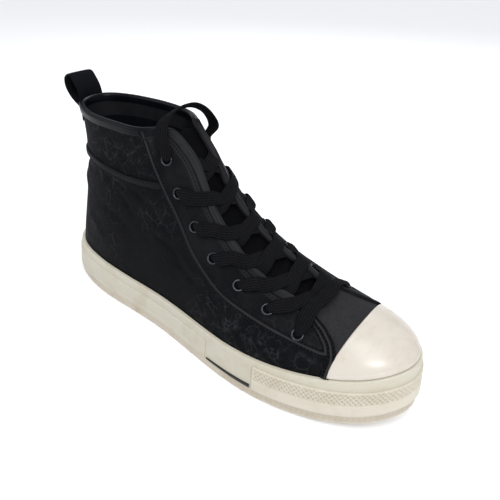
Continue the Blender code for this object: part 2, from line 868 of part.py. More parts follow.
def build_ankle_band(look):
    table = side_view(ANKLE_BAND)
    xs = [x for x, z in table]
    zs = [z for x, z in table]

    def height(x):
        return np.interp(x, xs, zs)

    seam_x, seam_z = side_view(EYESTAY_SEAM)[BAND_MEETS]
    meet = [seam_x - BAND_WIDTH, seam_z]
    ends = [find_on_skin(side, meet, from_side)[0] for side in (MEDIAL, LATERAL)]
    sections = strip_on_wall(round_heel(*ends), height, BAND_WIDTH, GAP, GAP + BAND_THICKNESS)
    add_sweep("ankle_band", sections, look)


def edge_frame(t, side):
    """Point of the top edge with the outward direction there and the one square to the edge."""
    small = 2e-3
    along = unit(skin_raw(t + small, side, 1.0) - skin_raw(t - small, side, 1.0))
    out = skin_normal(t, side, 1.0)
    up = np.cross(along, out)
    line = skin_raw(t, side, 1.0) - skin_raw(t, side, 1.0 - small)
    return skin_raw(t, side, 1.0), out, unit(up) * math.copysign(1, up @ line)


def binding_sections(lines):
    """Sections of the folded strip over the top edge, open below it."""
    # Corners run up its outside, over its top, down its inside and back against the wall
    sections = []
    high = GAP + BINDING_THICKNESS
    for t, side in lines:
        edge, out, up = edge_frame(t, side)
        low = depth_share(t, side, BINDING_DEPTH)
        sections.append([
            skin(t, side, low, GAP),
            skin(t, side, low, high),
            edge + out * high + up * (high + GAP),
            edge - out * (WALL + high) + up * (high + GAP),
            skin(t, side, low, -WALL - high),
            skin(t, side, low, -WALL - GAP),
            edge - out * (WALL + GAP) + up * GAP * 2,
            edge + out * GAP + up * GAP * 2,
        ])
    return sections


def build_bindings(look):
    corner = lines_share(THROAT_CORNER)
    apart = GAP / LENGTH
    rising = [False, True, False, False, False, True, True, False]
    for name, lines in (("collar_binding", round_heel(corner - apart, corner - apart)),
                        ("throat_binding", round_toe(corner + apart))):
        order = [t for t, side in lines]
        add_sweep(name, binding_sections(lines), look, order=order, rising=rising)


def build_toe_cap(look):
    middle = CAP_EDGE * LENGTH
    start = lines_share(share_of_length(middle - 3 * CAP_BOW))
    lines = round_toe(start)
    points, faces = shell(lines, 1, BINDING_ROW, GAP, GAP + CAP_THICKNESS, raised=CAP_RAISED)
    cap = add_object("toe_cap", points, faces, look)
    half = BALL_WIDTH * CUTTER_REACH
    plan = []
    for y in np.linspace(half, -half, CAP_EDGE_POINTS):
        plan.append((middle - CAP_BOW * (y / CAP_BOW_AT) ** 2, y))
    plan += [(LENGTH, -half), (LENGTH, half)]
    count = len(plan)
    prism = [(x, y, z) for z in (0.0, COLLAR_HEIGHT) for x, y in plan]
    sides = [(i, (i + 1) % count, count + (i + 1) % count, count + i) for i in range(count)]
    ends = [tuple(range(count)), tuple(range(count, 2 * count))]
    add_boolean(cap, add_cutter("toe_cap_cutter", prism, sides + ends), "INTERSECT")


def build_tongue(look):
    """Padded tongue under the throat, from inside the collar to under the vamp."""
    sections = []
    for t in between(TONGUE_FROM, TONGUE_TO):
        faces_of = []
        for depth in (TONGUE_DEPTH, TONGUE_DEPTH + TONGUE_THICKNESS):
            rims = []
            for side in (MEDIAL, LATERAL):
                shares = [depth_share(t, side, d) for d in (TONGUE_UNDERLAP, TONGUE_UNDERLAP / 2, 0)]
                rims.append([skin(t, side, v, -depth) for v in shares])
            near = rims[0][2]
            far = rims[1][2]
            across = []
            for share in (0.25, 0.5, 0.75):
                lift_by = TONGUE_CROWN * 4 * share * (1 - share)
                across.append(near + (far - near) * share + np.array([0.0, 0.0, lift_by]))
            faces_of.append(rims[0] + across + rims[1][::-1])
        sections.append(faces_of[0] + faces_of[1][::-1])
    top = [p + np.array([TONGUE_LEAN, 0.0, TONGUE_STAND]) * TONGUE_RISE for p in sections[0]]
    tip = [p + np.array([TONGUE_TIP, 0.0, -TONGUE_TIP_DROP]) for p in sections[-1]]
    add_sweep("tongue", [top] + sections + [tip], look)


def eyelet_places(side):
    """Each eyelet's point on the upper, its outward direction, t and v, from the collar down."""
    places = []
    for along, up in EYELETS:
        t, v = find_on_skin(side, [along * LENGTH, up * COLLAR_HEIGHT], from_side)
        places.append((skin_raw(t, side, v), skin_normal(t, side, v), t, v))
    return places


def turned(point, axis, profile, count):
    """Points and faces of a ring turned round an axis, from (radius, height) corners."""
    turn = Vector(axis).to_track_quat("Z", "X").to_matrix()
    points = []
    for i in range(count):
        angle = 2 * math.pi * i / count
        for radius, height in profile:
            spot = turn @ Vector((radius * math.cos(angle), radius * math.sin(angle), height))
            points.append(np.asarray(point) + np.array(spot))
    corners = len(profile)
    faces = []
    for i in range(count):
        for j in range(corners):
            a = i * corners
            b = (i + 1) % count * corners
            k = (j + 1) % corners
            faces.append((a + j, b + j, b + k, a + k))
    return points, faces


def build_eyelet_holes():
    """One cutter with a plug through the upper and the eyestay at each eyelet."""
    points = []
    faces = []
    radius = EYELET_BARREL + GAP
    reach = 2 * (WALL + LEATHER)
    for side in (MEDIAL, LATERAL):
        for place, axis, t, v in eyelet_places(side):
            base = len(points)
            turn = Vector(axis).to_track_quat("Z", "X").to_matrix()
            for height in (-reach, reach):
                for i in range(EYELET_SIDES):
                    angle = 2 * math.pi * i / EYELET_SIDES
                    spot = Vector((radius * math.cos(angle), radius * math.sin(angle), height))
                    points.append(place + np.array(turn @ spot))
            ring = range(EYELET_SIDES)
            faces.append(tuple(base + i for i in ring))
            faces.append(tuple(base + EYELET_SIDES + i for i in ring))
            for i in ring:
                j = (i + 1) % EYELET_SIDES
                faces.append((base + i, base + j, base + EYELET_SIDES + j, base + EYELET_SIDES + i))
    return add_cutter("eyelet_holes", points, faces)


def build_eyelets(look):
    seat = 2 * GAP + LEATHER
    profile = [
        (EYELET_BARREL, seat), (EYELET_OUTER, seat), (EYELET_OUTER - GAP, seat + EYELET_FLANGE),
        (EYELET_HOLE, seat + EYELET_FLANGE), (EYELET_HOLE, -WALL - GAP), (EYELET_BARREL, -WALL - GAP),
    ]
    for side, word in ((MEDIAL, "medial"), (LATERAL, "lateral")):
        for number, (place, axis, t, v) in enumerate(eyelet_places(side), 1):
            points, faces = turned(place, axis, profile, EYELET_SIDES)
            add_object("eyelet_%s_%d" % (word, number), points, faces, look)


def edge_crossing(side, origin, across, offset):
    """The t where the throat's edge lies at an offset from a point, measured along across."""
    t = np.linspace(lines_share(THROAT_CORNER) - 0.02, 0.98, 300)
    edge = skin_raw(t, side, np.ones(300))
    miss = (edge - origin) @ across - offset
    signs = np.nonzero(np.diff(np.sign(miss)))[0]
    nearest = np.linalg.norm(edge - origin, axis=1)
    if len(signs) == 0:
        return float(t[np.argmin(np.abs(miss))])
    i = min(signs, key=lambda index: nearest[index])
    return float(t[i] + (t[i + 1] - t[i]) * miss[i] / (miss[i] - miss[i + 1]))


def along_wall(direction, out):
    """The direction laid flat on a wall that faces out."""
    return unit(direction - out * (direction @ out))


def under_edge(side, origin, across, offset):
    """Place inside the throat where a lace goes in under the edge."""
    edge, out, up = edge_frame(edge_crossing(side, origin, across, offset), side)
    aside = BINDING_THICKNESS + 4 * GAP + LACE_THICKNESS / 2
    return edge + up * aside - out * (TONGUE_DEPTH - GAP - LACE_THICKNESS)


def over_eyelet(start, toward, across, offset):
    """Places of a lace's start over an eyelet: past its middle, and at its near rim."""
    place, axis, t, v = start
    height = 3 * GAP + LEATHER + EYELET_FLANGE + LACE_THICKNESS / 2
    level = place + axis * height + along_wall(across, axis) * offset
    flat = along_wall(toward, axis)
    return [level - flat * GAP * 3, level + flat * (EYELET_OUTER + GAP)]


def over_wall(side, start, across, offset):
    """Path of a lace from an eyelet over the wall and over the binding."""
    place, axis, t, v = start
    crossing = edge_crossing(side, place, across, offset)
    edge, out, up = edge_frame(crossing, side)
    height = 4 * GAP + LEATHER + LACE_THICKNESS / 2
    rim = 3 * GAP + BINDING_THICKNESS
    path = []
    for share in OVER_WALL_SHARES:
        at_t = t + (crossing - t) * share
        at_v = v + (1 - v) * share
        spot = skin(at_t, side, at_v, height)
        aside = along_wall(across, skin_normal(at_t, side, at_v))
        path.append(spot + aside * (offset - (spot - place) @ across) / (aside @ across))
    start_path = over_eyelet(start, path[0] - place - across * offset, across, offset)
    return start_path + path + [edge + out * (rim + LACE_THICKNESS) + up * rim]


def ribbon(left, right):
    """Points and faces of a flat lace between the paths of its two borders."""
    left = np.array(left)
    right = np.array(right)
    middle = (left + right) / 2
    along = np.gradient(middle, axis=0)
    sections = []
    for i in range(len(middle)):
        thick = unit(np.cross(along[i], right[i] - left[i])) * LACE_THICKNESS / 2
        sections.append([left[i] - thick, right[i] - thick, right[i] + thick, left[i] + thick])
    return sweep(sections)


def lace_band(side, start, finish, crowned, from_under):
    """One band across the throat, from an eyelet or the edge to under the other edge."""
    place, axis, t, v = start
    toward = unit(finish[0] - place)
    across = unit(np.cross(toward, unit(axis + finish[1])))
    borders = []
    for offset in (-LACE_WIDTH / 2, LACE_WIDTH / 2):
        last = under_edge(-side, place, across, offset)
        if from_under:
            track = [under_edge(side, place, across, offset)]
        else:
            track = over_wall(side, start, across, offset)
        mid = (track[-1] + last) / 2 + unit(axis + finish[1]) * crowned
        borders.append(track + [mid, last])
    return ribbon(*borders)


def build_crossings(look):
    medial = eyelet_places(MEDIAL)
    lateral = eyelet_places(LATERAL)
    for k in range(len(EYELETS) - 1):
        under = k == 0
        bands = []
        for side, here, there in ((MEDIAL, medial, lateral), (LATERAL, lateral, medial)):
            bands.append(lace_band(side, here[k], there[k + 1], TONGUE_CROWN / 2, under))
        cross = add_object("lace_cross_%d" % (k + 1), *bands[0], look)
        add_boolean(cross, add_cutter("lace_other_%d" % (k + 1), *bands[1]), "UNION")


def build_lace_bar(look):
    """The first bar, over both edges at the toe end of the throat."""
    near = eyelet_places(MEDIAL)[-1]
    far = eyelet_places(LATERAL)[-1]
    toward = unit(far[0] - near[0])
    across = unit(np.cross(toward, unit(near[1] + far[1])))
    rise = 3 * GAP + BINDING_THICKNESS + LACE_THICKNESS / 2 + TONGUE_CROWN
    borders = []
    for offset in (-LACE_WIDTH / 2, LACE_WIDTH / 2):
        track = over_eyelet(near, toward, across, offset)
        for share in BAR_SHARES:
            flat = near[0] + (far[0] - near[0]) * share + across * offset
            side = MEDIAL if flat[1] < -centre_shift() else LATERAL
            t, v = find_on_skin(side, flat[:2], from_above)
            track.append(np.array([flat[0], flat[1], skin_raw(t, side, v)[2] + rise]))
        track += over_eyelet(far, -toward, across, offset)[::-1]
        borders.append(track)
    points, faces = ribbon(*borders)
    add_object("lace_bar", points, faces, look)


def build_lace_top(look):
    """The slack bar between the two top eyelets, arched over the top of the throat."""
    borders = []
    near = eyelet_places(MEDIAL)[0]
    far = eyelet_places(LATERAL)[0]
    for offset in (-LACE_WIDTH / 2, LACE_WIDTH / 2):
        ends = []
        for start in (near, far):
            across = unit(np.cross(np.array([0.0, 0.0, 1.0]), start[1]))
            across = across if across[0] > 0 else -across
            ends.append(over_eyelet(start, np.array([0.0, 0.0, 1.0]), across, offset))
        arch = []
        for x, y, z, turn_x, turn_z in TOP_LACE:
            width = unit([turn_x, 0.0, turn_z]) * offset
            arch.append(np.array([x * LENGTH, y * BALL_WIDTH - centre_shift(), z * COLLAR_HEIGHT])
                        + width)
        borders.append(ends[0] + arch + ends[1][::-1])
    points, faces = ribbon(*borders)
    add_object("lace_top", points, faces, look)


def heel_bend(side, v, y):
    """How far the heel's back has come forward at a distance from its middle line."""
    t = np.linspace(0, 0.2, 41)
    points = skin_raw(t, side, np.full(41, v))
    reach = np.abs(points[:, 1] + centre_shift())
    return float(np.interp(y, reach, points[:, 0]) - points[0, 0])


def build_pull_loop(look):
    """Strap folded into a loop, both ends on the outside of the heel."""
    against = 3 * GAP + BINDING_THICKNESS + LOOP_THICKNESS / 2
    outer = against + LOOP_THICKNESS + GAP
    seat = depth_share(0.0, MEDIAL, LOOP_SEAT)
    fold = depth_share(0.0, MEDIAL, LOOP_SEAT / 3)
    edge, out, up = edge_frame(0.0, MEDIAL)
    middle = [(skin(0.0, MEDIAL, seat, against), seat, 1.0),
              (skin(0.0, MEDIAL, fold, against), fold, 1.0),
              (edge + out * against, 1.0, 1.0)]
    for x, z in LOOP_PATH:
        spot = edge + np.array([x * LOOP_RISE, 0.0, z * LOOP_RISE])
        middle.append((spot, 1.0, float(np.clip(1 - z, LOOP_FLAT, 1))))
    middle += [(skin(0.0, MEDIAL, fold, outer), fold, 1.0), (skin(0.0, MEDIAL, seat, outer), seat, 1.0)]
    path = np.array([spot for spot, v, share in middle])
    along = np.gradient(path, axis=0)
    thick = np.cross(along, [0.0, 1.0, 0.0])
    thick = thick / np.linalg.norm(thick, axis=1, keepdims=True) * LOOP_THICKNESS / 2
    sections = []
    for across in (-1.0, -0.5, 0.0, 0.5, 1.0):
        y = across * LOOP_WIDTH / 2
        side = MEDIAL if across < 0 else LATERAL
        bent = []
        for spot, v, share in middle:
            bent.append([spot[0] + share * heel_bend(side, v, abs(y)), y - centre_shift(), spot[2]])
        bent = np.array(bent)
        sections.append(list(bent + thick) + list(bent - thick)[::-1])
    add_sweep("pull_loop", sections, look)


def build_shoe():
    clear_scene()
    rubber = material("cream_rubber", (0.68, 0.63, 0.53), 0.55)
    leather = material("black_leather", (0.016, 0.017, 0.019), 0.50)
    trim = material("black_trim", (0.012, 0.012, 0.014), 0.35)
    lining = material("black_lining", (0.010, 0.011, 0.012), 0.85)
    webbing = material("black_webbing", (0.014, 0.014, 0.016), 0.80)
    steel = material("gunmetal", (0.10, 0.10, 0.11), 0.30, 1.0)
    black_rubber = material("black_rubber", (0.020, 0.020, 0.020), 0.60)

    build_outsole(rubber)
    build_midsole(rubber)
    build_insole(lining)
    build_foxing(rubber)
    build_strips(rubber, black_rubber)
    holes = build_eyelet_holes()
    build_upper(leather, holes)
    build_eyestays(leather, holes)
    build_toe_cap(rubber)
    build_ankle_band(leather)
    build_bindings(trim)
    build_pull_loop(webbing)
    build_tongue(lining)
    build_eyelets(steel)
    build_crossings(webbing)
    build_lace_bar(webbing)
    build_lace_top(webbing)


build_shoe()
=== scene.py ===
"""Looks of the high top sneaker: leather, rubber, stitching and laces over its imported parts."""
import math

import bpy
import numpy as np
from mathutils import Matrix, Vector


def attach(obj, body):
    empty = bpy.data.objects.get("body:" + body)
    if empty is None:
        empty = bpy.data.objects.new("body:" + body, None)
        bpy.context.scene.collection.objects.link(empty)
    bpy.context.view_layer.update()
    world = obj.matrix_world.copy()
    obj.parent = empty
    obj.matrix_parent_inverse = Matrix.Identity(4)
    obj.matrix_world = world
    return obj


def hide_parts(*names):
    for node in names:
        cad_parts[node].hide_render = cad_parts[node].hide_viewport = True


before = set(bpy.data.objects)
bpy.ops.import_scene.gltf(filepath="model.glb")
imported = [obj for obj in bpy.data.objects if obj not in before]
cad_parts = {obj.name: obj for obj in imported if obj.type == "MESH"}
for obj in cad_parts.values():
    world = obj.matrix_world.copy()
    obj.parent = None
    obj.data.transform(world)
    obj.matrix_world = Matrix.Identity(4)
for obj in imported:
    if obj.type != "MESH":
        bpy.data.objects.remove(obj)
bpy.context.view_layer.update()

# Sizes of the shoe, in metres, as in the part's source
LENGTH = 0.300
BALL_WIDTH = 0.100
COLLAR_HEIGHT = 0.145
TOE_SPRING = 0.0097
SPRING_START = 0.060
OUTSOLE_EDGE = 0.0070
OUTSOLE_PLATE = 0.0045
LUG_BORDER = 0.0075
LUG_LENGTH = 0.0060
LUG_PITCH = 0.0100
LUG_FIELDS = [(-0.128, -0.048), (0.004, 0.126)]
FOXING_HEEL = 0.0325
FOXING_WAIST = 0.0272
FOXING_TOE = 0.0340
FOXING_TAPER = 0.0020
HEEL_LEAN = 0.0040
FOXING_WALL = 0.0026
FOOTBED_HEEL = 0.0175
FOOTBED_TOE = 0.0130
BUMPER_START = 0.0640
BUMPER_HEIGHT = 0.0250
HEEL_STRIP_END = 0.0230
HEEL_STRIP_DROP = 0.0062
STRIPE_THIN = 0.0009
STRIPE_THICK = 0.0024
WALL = 0.0020
GAP = 0.0003
LEATHER = 0.0010
BINDING_THICKNESS = 0.0009
CAP_THICKNESS = 0.0016
CAP_EDGE = 0.1118
CAP_BOW = 0.0040
CAP_BOW_AT = 0.0350
BAND_WIDTH = 0.0042
TONGUE_THICKNESS = 0.0030
TONGUE_UNDERLAP = 0.0130
TONGUE_DEPTH = 0.0043
TONGUE_CROWN = 0.0010
TONGUE_FROM = 0.52
TONGUE_TO = 0.87
LOOP_WIDTH = 0.0200
LOOP_THICKNESS = 0.0016
LOOP_RISE = 0.0165
LOOP_SEAT = 0.0150
LOOP_FLAT = 0.25
EYELET_HOLE = 0.0027
LACE_WIDTH = 0.0092
LACE_THICKNESS = 0.0014
THROAT_CORNER = 0.480
LASTED = 0.12
LATERAL_TUCK = 0.80
MEDIAL = -1
LATERAL = 1
WORDS = {MEDIAL: "medial", LATERAL: "lateral"}

# Sole outline: share of LENGTH, then the half widths as shares of BALL_WIDTH
OUTLINE = [
    # along, medial, lateral
    (0.00, 0.000, 0.000),
    (0.02, 0.146, 0.150),
    (0.06, 0.231, 0.262),
    (0.12, 0.296, 0.335),
    (0.20, 0.335, 0.370),
    (0.30, 0.348, 0.396),
    (0.40, 0.366, 0.424),
    (0.50, 0.408, 0.450),
    (0.60, 0.456, 0.482),
    (0.70, 0.477, 0.500),
    (0.78, 0.455, 0.482),
    (0.86, 0.400, 0.424),
    (0.93, 0.306, 0.322),
    (0.98, 0.165, 0.178),
    (1.00, 0.000, 0.000),
]

# Upper edge and wall round the sole, in shares of LENGTH, BALL_WIDTH and COLLAR_HEIGHT
SECTIONS = [
    # foot, edge_x, edge_y, swing, edge_z, flare, rise, lean, tuck, climb
    (0.00, -0.388, 0.000, 0.000, 1.007, -0.045, 0.200, -0.055, 0.000, 0.283),
    (0.03, -0.376, 0.115, 0.000, 1.006, -0.035, 0.200, -0.045, 0.000, 0.280),
    (0.10, -0.338, 0.200, 0.000, 1.002, -0.008, 0.200, -0.030, -0.010, 0.275),
    (0.20, -0.273, 0.255, 0.000, 0.996, 0.020, 0.200, -0.014, -0.017, 0.272),
    (0.32, -0.193, 0.260, 0.000, 0.993, 0.020, 0.195, -0.020, -0.020, 0.275),
    (0.42, -0.127, 0.210, 0.000, 0.993, 0.017, 0.200, -0.055, 0.007, 0.248),
    (0.48, -0.088, 0.130, -0.003, 0.993, 0.014, 0.205, -0.083, 0.048, 0.207),
    (0.54, -0.053, 0.099, -0.006, 0.938, 0.007, 0.195, -0.055, 0.072, 0.170),
    (0.60, -0.022, 0.095, -0.010, 0.866, 0.000, 0.175, -0.023, 0.070, 0.158),
    (0.67, 0.007, 0.107, -0.013, 0.752, 0.000, 0.150, -0.020, 0.074, 0.150),
    (0.74, 0.050, 0.128, -0.016, 0.638, 0.000, 0.122, -0.012, 0.070, 0.126),
    (0.81, 0.113, 0.151, -0.018, 0.530, 0.000, 0.104, -0.016, 0.064, 0.110),
    (0.88, 0.188, 0.168, -0.016, 0.460, 0.000, 0.088, -0.050, 0.058, 0.092),
    (0.94, 0.255, 0.140, -0.013, 0.423, 0.000, 0.076, -0.150, 0.030, 0.050),
    (1.00, 0.285, 0.000, -0.010, 0.414, -0.014, 0.069, -0.200, 0.000, 0.021),
]

# Eyelets, from the collar down: along and up as shares of LENGTH and COLLAR_HEIGHT
EYELETS = [
    # along, up
    (-0.081, 0.880),
    (-0.043, 0.752),
    (0.010, 0.635),
    (0.066, 0.530),
    (0.133, 0.449),
    (0.205, 0.391),
    (0.281, 0.348),
]

# Lower seam of the eyestay seen from the side, from the collar to the toe cap
EYESTAY_SEAM = [
    # along, up
    (-0.143, 1.030),
    (-0.138, 0.960),
    (-0.119, 0.856),
    (-0.086, 0.741),
    (-0.036, 0.623),
    (0.012, 0.512),
    (0.093, 0.401),
    (0.164, 0.358),
    (0.233, 0.328),
    (0.303, 0.310),
    (0.342, 0.303),
]

# Front edge of the eyestay, from its seam up to the throat
EYESTAY_FRONT = [
    # along, up
    (0.357, 0.310),
    (0.345, 0.342),
    (0.327, 0.366),
    (0.288, 0.400),
    (0.262, 0.440),
]

# Ankle band seen from the side, from behind the heel to the eyestay
ANKLE_BAND = [
    # along, up
    (-0.450, 0.800),
    (-0.317, 0.781),
    (-0.249, 0.762),
    (-0.186, 0.750),
    (-0.111, 0.757),
    (-0.050, 0.775),
]

# Pull loop's middle path seen from the side, from the collar's edge up and round, in LOOP_RISE
LOOP_PATH = [
    # along, up
    (-0.17, 0.35),
    (-0.32, 0.70),
    (-0.58, 0.96),
    (-0.86, 0.85),
    (-0.97, 0.50),
    (-0.84, 0.14),
    (-0.56, -0.12),
]

# Slack top lace from the inner to the outer side, and the direction of its width
TOP_LACE = [
    # along, across, up, width_along, width_across, width_up
    (-0.082, -0.222, 0.985, 0.95, 0.30, 0.0),
    (-0.090, -0.170, 1.035, 0.85, 0.30, 0.35),
    (-0.092, -0.030, 1.070, 0.80, 0.15, 0.50),
    (-0.084, 0.095, 1.070, 0.85, 0.0, 0.40),
    (-0.076, 0.195, 1.020, 0.95, 0.0, 0.10),
    (-0.074, 0.238, 0.955, 1.0, 0.0, 0.0),
]

# Soft creases seen from the side: two ends as shares of LENGTH and COLLAR_HEIGHT, half width and
# depth in millimetres (a negative depth stands out as a ridge)
CREASES = [
    # side, from_along, from_up, to_along, to_up, half_width, depth
    (0, -0.480, 0.725, -0.330, 0.715, 3.6, 1.7),
    (0, -0.330, 0.715, -0.190, 0.690, 3.2, 0.7),
    (0, -0.490, 0.640, -0.360, 0.610, 6.0, -1.3),
    (0, -0.460, 0.880, -0.380, 0.860, 7.0, 0.8),
    (-1, -0.250, 0.690, -0.180, 0.580, 2.6, 0.6),
    (-1, -0.180, 0.700, -0.100, 0.600, 2.4, 0.7),
    (-1, -0.130, 0.650, -0.070, 0.560, 2.2, 0.6),
    (-1, -0.300, 0.560, -0.190, 0.470, 4.0, 0.5),
    (-1, -0.100, 0.520, -0.010, 0.430, 2.8, 0.6),
    (-1, -0.060, 0.440, 0.040, 0.370, 2.6, 0.5),
    (-1, 0.080, 0.370, 0.120, 0.250, 2.4, 0.5),
    (-1, 0.140, 0.340, 0.170, 0.240, 2.2, 0.5),
    (-1, 0.200, 0.320, 0.235, 0.235, 2.2, 0.6),
    (-1, 0.270, 0.300, 0.300, 0.235, 2.0, 0.5),
    (-1, -0.380, 0.460, -0.300, 0.330, 5.0, -0.6),
    (-1, -0.210, 0.870, -0.170, 0.800, 3.0, 0.4),
    (1, -0.260, 0.690, -0.170, 0.590, 2.8, 0.7),
    (1, -0.170, 0.690, -0.090, 0.600, 2.4, 0.6),
    (1, -0.330, 0.580, -0.220, 0.500, 4.4, 0.6),
    (1, -0.090, 0.530, 0.010, 0.430, 2.8, 0.6),
    (1, 0.070, 0.370, 0.110, 0.250, 2.4, 0.6),
    (1, 0.150, 0.340, 0.180, 0.240, 2.2, 0.5),
    (1, 0.210, 0.320, 0.245, 0.235, 2.2, 0.6),
]


# The shoe's own surfaces

def centre_shift():
    """Distance that sets the middle of the sole's width on the origin."""
    medial = max(row[1] for row in OUTLINE)
    lateral = max(row[2] for row in OUTLINE)
    return BALL_WIDTH * (lateral - medial) / 2


SHIFT = centre_shift()


def lines_share(along):
    """Turn a share of the length into the even spacing used round the sole."""
    return math.acos(1 - 2 * along) / math.pi


def cubic(knots, values, at, mirror):
    """Smooth curve through values; mirror is 1 for an even and -1 for an odd end."""
    knots = np.asarray(knots, float)
    values = np.asarray(values, float)
    reach = 3
    k = np.concatenate([-knots[1:reach + 1][::-1], knots, 2 - knots[-reach - 1:-1][::-1]])
    low = mirror * values[1:reach + 1][::-1]
    high = mirror * values[-reach - 1:-1][::-1]
    y = np.concatenate([low, values, high])
    step = np.diff(k)
    count = len(k)
    system = np.eye(count)
    right = np.zeros(count)
    for i in range(1, count - 1):
        system[i, i - 1] = step[i - 1]
        system[i, i] = 2 * (step[i - 1] + step[i])
        system[i, i + 1] = step[i]
        right[i] = 6 * ((y[i + 1] - y[i]) / step[i] - (y[i] - y[i - 1]) / step[i - 1])
    bend = np.linalg.solve(system, right)
    at = np.asarray(at, float)
    i = np.clip(np.searchsorted(k, at) - 1, 0, count - 2)
    h = step[i]
    a = (k[i + 1] - at) / h
    b = (at - k[i]) / h
    curve = a * y[i] + b * y[i + 1]
    return curve + ((a ** 3 - a) * bend[i] + (b ** 3 - b) * bend[i + 1]) * h * h / 6


def lift(x):
    """Height of the sole's underside over the floor."""
    reach = LENGTH / 2 - SPRING_START
    return TOE_SPRING * np.clip((np.asarray(x, float) - SPRING_START) / reach, 0, None) ** 2


def half_width(t, side):
    knots = [lines_share(row[0]) for row in OUTLINE]
    widths = np.array([[row[1], row[2]] for row in OUTLINE]) * BALL_WIDTH
    side = np.broadcast_to(np.asarray(side), np.shape(t))
    medial = cubic(knots, widths[:, 0], t, -1)
    lateral = cubic(knots, widths[:, 1], t, -1)
    return np.where(side == MEDIAL, medial, lateral)


def outline(t, side, inset=0.0):
    """Point on the sole's outline, t from 0 at the heel to 1 at the toe."""
    t = np.asarray(t, float)

    def at(s):
        x = -LENGTH / 2 * np.cos(math.pi * s)
        return np.stack([x, side * half_width(s, side) - SHIFT], -1)

    small = 1e-3
    along = at(np.minimum(t + small, 2)) - at(t - small)
    along = along / np.linalg.norm(along, axis=-1, keepdims=True)
    turn = np.broadcast_to(np.asarray(side), t.shape)[..., None]
    inward = np.stack([along[..., 1], -along[..., 0]], -1) * turn
    return at(t) + inward * np.asarray(inset, float)[..., None]


def share_of_length(x):
    return np.asarray(x, float) / LENGTH + 0.5


def t_at(x):
    return lines_share(float(share_of_length(x)))


def foxing_height(x):
    """Height of the side wall's top over the sole's underside."""
    return np.interp(share_of_length(x), [0.0, 0.30, 0.62, 1.0],
                     [FOXING_HEEL, FOXING_WAIST, FOXING_WAIST, FOXING_TOE])


def footbed_height(x):
    """Height of the board that the foot stands on, over the sole's underside."""
    return np.interp(share_of_length(x), [0.0, 0.35, 0.70, 1.0],
                     [FOOTBED_HEEL, FOOTBED_HEEL, FOOTBED_TOE, FOOTBED_TOE])


def foxing_taper(x):
    """How far the side wall's top stands inside the outline, most at the heel's back."""
    back = np.clip(1 - share_of_length(x) / 0.10, 0, 1)
    return FOXING_TAPER + HEEL_LEAN * back * back


def skin_raw(t, side, v):
    """Point on the upper, t round the sole and v up the wall."""
    t, side, v = np.broadcast_arrays(np.asarray(t, float), np.asarray(side), np.asarray(v, float))
    knots = [lines_share(row[0]) for row in SECTIONS]

    def column(index, scale, mirror):
        return cubic(knots, [row[index] * scale for row in SECTIONS], t, mirror)

    edge_line = outline(t, side)
    taper = foxing_taper(edge_line[..., 0])
    low = outline(t, side, FOXING_WALL + GAP + taper / 2)
    low_z = footbed_height(low[..., 0]) + GAP + lift(low[..., 0])
    foot = outline(t, side, FOXING_WALL + GAP + taper)
    foot_z = foxing_height(foot[..., 0]) + GAP + lift(foot[..., 0])
    out = edge_line - foot
    out = out / np.linalg.norm(out, axis=-1, keepdims=True)
    flare = column(5, COLLAR_HEIGHT, 1)
    edge_y = side * column(2, BALL_WIDTH, -1) + column(3, BALL_WIDTH, 1) - SHIFT
    tuck = side * np.where(side == LATERAL, LATERAL_TUCK, 1.0)
    edge = np.stack([column(1, LENGTH, 1), edge_y, column(4, COLLAR_HEIGHT, 1)], -1)
    pull = np.stack([column(7, COLLAR_HEIGHT, 1), -tuck * column(8, COLLAR_HEIGHT, -1),
                     column(9, COLLAR_HEIGHT, 1)], -1)
    board = np.stack([low[..., 0], low[..., 1], low_z], -1)
    base = np.stack([foot[..., 0], foot[..., 1], foot_z], -1)
    rise = column(6, COLLAR_HEIGHT, 1)
    first = base + np.stack([out[..., 0] * flare, out[..., 1] * flare, rise], -1)
    second = edge - pull
    v = v[..., None]
    s = np.clip((v - LASTED) / (1 - LASTED), 0, None)
    r = 1 - s
    wall = r ** 3 * base + 3 * r * r * s * first + 3 * r * s * s * second + s ** 3 * edge
    return np.where(v < LASTED, board + (base - board) * (v / LASTED), wall)


def skin_normal(t, side, v):
    """Outward direction of the upper."""
    t, side, v = np.broadcast_arrays(np.asarray(t, float), np.asarray(side), np.asarray(v, float))
    small = 2e-3
    along = skin_raw(t + small, side, v) - skin_raw(t - small, side, v)
    up = skin_raw(t, side, np.minimum(v + small, 1)) - skin_raw(t, side, np.maximum(v - small, 0))
    normal = np.cross(along, up) * -side[..., None]
    return normal / np.linalg.norm(normal, axis=-1, keepdims=True)


def crease(point, side):
    """How far the creases move the upper outward, for each of its points."""
    total = np.zeros(point.shape[:-1])
    for which, x0, z0, x1, z1, width, depth in CREASES:
        start = np.array([x0 * LENGTH, z0 * COLLAR_HEIGHT])
        run = np.array([x1 * LENGTH, z1 * COLLAR_HEIGHT]) - start
        offset = point[..., [0, 2]] - start
        share = np.clip((offset @ run) / (run @ run), 0, 1)
        bow = run[::-1] * np.array([-1, 1]) * 0.08
        middle = share[..., None] * run + (4 * share * (1 - share))[..., None] * bow
        gap = np.linalg.norm(offset - middle, axis=-1)
        fade = np.clip(3.0 * np.minimum(share + 0.12, 1.12 - share), 0, 1)
        bump = np.exp(-(gap / (width * 1e-3)) ** 2) * fade
        allowed = (side == which) | (which == 0)
        total -= np.where(allowed, depth * 1e-3 * bump, 0.0)
    return total


def quiet(v):
    """Share of the creases that reaches a height of the wall."""
    return np.clip((v - LASTED) / 0.10, 0, 1) * np.clip((1.0 - v) / 0.08, 0, 1)


